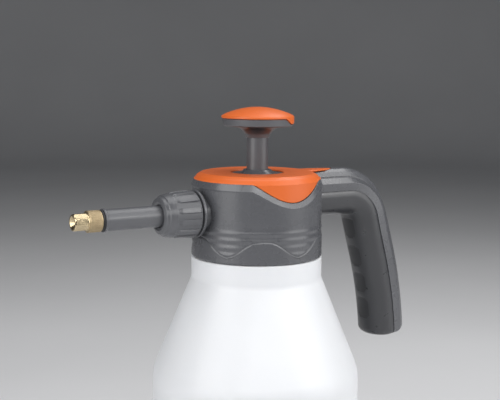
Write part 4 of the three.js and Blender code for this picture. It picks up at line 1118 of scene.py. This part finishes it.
def build_handle():
    """Both shells of the handle with their screw posts, and finger dips in a rougher finish."""
    shell = handle_half(shell_section, True)
    grip = handle_half(grip_section, False)
    seat_r = SCREW_HEAD_R + 0.3
    for distance in SCREW_PLACES:
        place = through_handle(distance)
        joined(shell, rod(4.6, -SHELL_DEPTH + 1.6, -0.3, place))
        joined(grip, rod(4, 0.3, GRIP_DEPTH - 1.6, place))
        seat = [
            (0, -SHELL_DEPTH - 2), (seat_r + 1.1, -SHELL_DEPTH - 1, 0),
            (seat_r, -SHELL_DEPTH + 0.5, 0.3), (seat_r, SCREW_SINK - SHELL_DEPTH),
            (0, SCREW_SINK - SHELL_DEPTH),
        ]
        cut(shell, lathe(seat, place, 48), rod(SCREW_R + 0.2, -12, 1, place))
        cut(grip, rod(SCREW_R + 0.15, -1, 10, place))
    under, post = HANDLE_Z - GRIP_DEPTH, upright(BRACKET_SCREW_X)
    joined(grip, rod(4.4, under + 1.6, 26.7, post))
    cut(grip, rod(SCREW_R + 0.2, 10, 28, post), rod(seat_r, 10, under + BRACKET_SCREW_SINK, post, 48))
    dress(softened(shell, 0.25), "handle_outer_shell", "head", *HEAD_FINISH)
    dress(softened(grip, 0.25), "handle_inner_grip", "head", *GRIP_FINISH)
    grip.data.materials.append(finger_look.material)
    for face in grip.data.polygons:
        face.material_index = int(in_finger_dip(face.center))


def screw(length, place):
    """A pan-head screw with a cross slot, its point at local height 0."""
    pitch, core = 1.3, SCREW_R * 0.74

    def profile(angle):
        points = [(0, 0), (SCREW_R * 0.4, 0.8, 0.2)]
        steps = int(length * 4)
        for i in range(1, steps):
            height = 1 + (length - 2) * i / steps
            crest = thread(height, angle, 1, length - 1, pitch)
            points.append((SCREW_R * (0.74 + 0.24 * crest), height, 0))
        return points + [
            (core, length, 0.1), (SCREW_HEAD_R, length, 0.2), (SCREW_HEAD_R, length + 1.1, 0.8),
            (1.6, length + 2, 1), (0, length + 2),
        ]

    made = lathe(profile, place, 32)
    low, high, reach, half = length + 0.9, length + 3, 1.8, 0.35
    return cut(
        made,
        block((-reach, -half, low), (reach, half, high), place),
        block((-half, -reach, low), (half, reach, high), place),
    )


def build_screws():
    turned_over = Matrix.Rotation(math.pi, 4, "X")
    under_head = SCREW_SINK - SHELL_DEPTH - GAP
    for i, distance in enumerate(SCREW_PLACES):
        point = Matrix.Translation((0, 0, under_head + SCREW_LENGTH))
        made = screw(SCREW_LENGTH, through_handle(distance) @ point @ turned_over)
        dress(made, f"handle_screw_{i + 1}", "head", *STEEL_FINISH)
    length = BRACKET_SCREW_LENGTH
    under_head = HANDLE_Z - GRIP_DEPTH + BRACKET_SCREW_SINK - GAP
    made = screw(length, upright(BRACKET_SCREW_X, under_head + length) @ turned_over)
    dress(made, "bracket_screw", "head", *STEEL_FINISH)
    pin = [(0, -8.2), (PIN_R, -8.2, 0.3), (PIN_R, 8.2, 0.3), (0, 8.2)]
    dress(lathe(pin, across(PIVOT_X, PIVOT_Z), 32), "lever_pivot_pin", "head", *STEEL_FINISH)


def lever_strip():
    """Channel-shaped strip that follows the handle's back and is closed at its free end."""
    corners = [(-9.3, 6.6, 0.3), (-10.6, 6.6, 0.6), (-13.1, 4.9, 0.8), (-14.6, 2.9, 2), (-15.4, 0, 0)]
    outside = whole(rounded(corners, False))
    corners = [(-9.3, 5.3, 0.3), (-10.5, 5.2, 0.6), (-12.0, 4.2, 0.6), (-13.2, 2.4, 0.6), (-13.9, 0, 0)]
    inside = whole(rounded(corners, False))
    stations = [LEVER_ROOT_R - HANDLE_X - 1, LEVER_ROOT_R - HANDLE_X + 0.2]
    while stations[-1] < LEVER_END - 4:
        stations.append(stations[-1] + 1.1)
    stations += [LEVER_END - 3, LEVER_END - 1.5, LEVER_END]
    rows = [[handle_point(s, depth, side) for depth, side in outside + inside[::-1]] for s in stations]
    rows[0] = [at_root(point, LEVER_ROOT_R) for point in rows[0]]
    plug = (LEVER_END - 1.2, LEVER_END)
    end = [[handle_point(s, depth, side) for depth, side in outside] for s in plug]
    return softened(joined(skin(rows, HEAD, False, True), skin(end, HEAD, False, True)), 0.3)


def build_lever():
    """Lever with the arm that lifts the valve stem, forked at its end, and the boss on its pin."""
    strip = lever_strip()
    web_top, valve = 47.6, VALVE_X / MM
    outline = [
        (valve - 3.6, 40.6, 0.6), (PIVOT_X - 4, 38.6, 1.5), (PIVOT_X, 38.1, 2),
        (PIVOT_X + 3.2, 40, 2), (PIVOT_X + 9, web_top, 0.5), (41, web_top, 0.5),
        (40, 43.4, 1.5), (valve - 3.6, 43, 0.6),
    ]
    corners = rounded(outline, True)
    arm = softened(skin([[(x, y, z) for x, z in corners] for y in (-3.5, 3.5)], HEAD, False, True), 0.3)
    boss = lathe([(0, -6.4), (3.4, -6.4, 0.3), (3.4, 6.4, 0.3), (0, 6.4)], across(PIVOT_X, PIVOT_Z), 48)
    joined(strip, arm, boss)
    cut(
        strip,
        rod(PIN_R + 0.08, -12, 12, across(PIVOT_X, PIVOT_Z)),
        block((valve - 5, -1.75, 38), (valve + 1.9, 1.75, 46), HEAD),
        tongue(0.5, COVER_Z - 1.7, COVER_Z + 3),
    )
    dress(strip, "thumb_lever", "lever", *LEVER_FINISH)


# ---- the whole sprayer ----

for build in (
    build_bottle, build_head, build_cover, build_barrel, build_guide_cap, build_plunger,
    build_knob, build_socket, build_nut, build_tube, build_nozzle, build_valve, build_spring,
    build_suction, build_handle, build_screws, build_lever,
):
    build()

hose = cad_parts["outlet_hose"]
hose.data.materials.clear()
hose.data.materials.append(natural_look.material)
hose.data.shade_smooth()

# ---- floor, light and camera ----


def build_floor():
    """A pale floor that curves up far away on every side."""
    look = Look("pale_floor", 0.7)
    tone = look.spread(look.noise(0.4, 3), 0, 1)
    look.wire("Base Color", look.mixed(tone, (0.66, 0.66, 0.67), (0.70, 0.70, 0.71)))
    look.wire("Normal", look.bump(look.noise(0.004, 2), 0.00005))
    profile = [(0, 0), (3200, 0, 900), (4400, 2600, 0), (4400, -60, 0), (0, -60)]
    floor = lathe(profile, MILLIMETRES, 96)
    floor.name = "floor"
    floor.data.materials.append(look.material)
    floor.data.shade_smooth()


def softbox(name, azimuth, elevation, distance, width, height, power):
    """An area light that faces the head from a direction given round the object."""
    light = bpy.data.lights.new(name, "AREA")
    light.shape = "RECTANGLE"
    light.size, light.size_y = width, height
    light.energy = power
    a, e = math.radians(azimuth), math.radians(elevation)
    away = Vector((math.sin(a) * math.cos(e), -math.cos(a) * math.cos(e), math.sin(e)))
    lamp = bpy.data.objects.new(name, light)
    lamp.location = Vector((0, 0, NECK_Z)) + away * distance
    lamp.rotation_mode = "QUATERNION"
    lamp.rotation_quaternion = (-away).to_track_quat("-Z", "Y")
    lamp.visible_camera = False
    bpy.context.scene.collection.objects.link(lamp)


CAMERA_AZIMUTH = -32.14
CAMERA_PITCH = 7.37
CAMERA_ROLL = 0.49
CAMERA_DISTANCE = 604.2 * MM
CAMERA_LENS = 72
AIM_ABOVE_NECK = 32.94 * MM
AIM_TO_SIDE = -4.21 * MM


def build_camera():
    a, e = math.radians(CAMERA_AZIMUTH), math.radians(CAMERA_PITCH)
    right = Vector((math.cos(a), math.sin(a), 0))
    back = Vector((math.sin(a) * math.cos(e), -math.cos(a) * math.cos(e), math.sin(e)))
    up = back.cross(right)
    turn = Matrix((right, up, back)).transposed() @ Matrix.Rotation(math.radians(CAMERA_ROLL), 3, "Z")
    camera = bpy.data.objects.new("camera", bpy.data.cameras.new("camera"))
    camera.data.lens = CAMERA_LENS
    camera.data.sensor_width = 36
    camera.location = Vector((0, 0, NECK_Z + AIM_ABOVE_NECK)) + right * AIM_TO_SIDE + back * CAMERA_DISTANCE
    camera.rotation_mode = "QUATERNION"
    camera.rotation_quaternion = turn.to_quaternion()
    bpy.context.scene.collection.objects.link(camera)
    bpy.context.scene.camera = camera


def build_light():
    softbox("left_softbox", CAMERA_AZIMUTH - 52, 20, 0.95, 0.65, 0.9, 5.5)
    softbox("right_softbox", CAMERA_AZIMUTH + 75, 26, 0.95, 0.75, 1.1, 5.2)
    softbox("front_strip", CAMERA_AZIMUTH + 22, 27, 1.2, 2.8, 0.12, 10.5)
    softbox("top_softbox", CAMERA_AZIMUTH, 92, 1.0, 0.9, 0.7, 4.5)
    softbox("rim_softbox", CAMERA_AZIMUTH + 130, 56, 1.0, 0.9, 0.3, 2.9)
    world = bpy.data.worlds.new("studio")
    world.use_nodes = True
    background = world.node_tree.nodes["Background"]
    background.inputs["Color"].default_value = (0.9, 0.94, 1, 1)
    background.inputs["Strength"].default_value = 0.07
    bpy.context.scene.world = world
    bpy.context.scene.view_settings.view_transform = "Standard"


build_floor()
build_camera()
build_light()
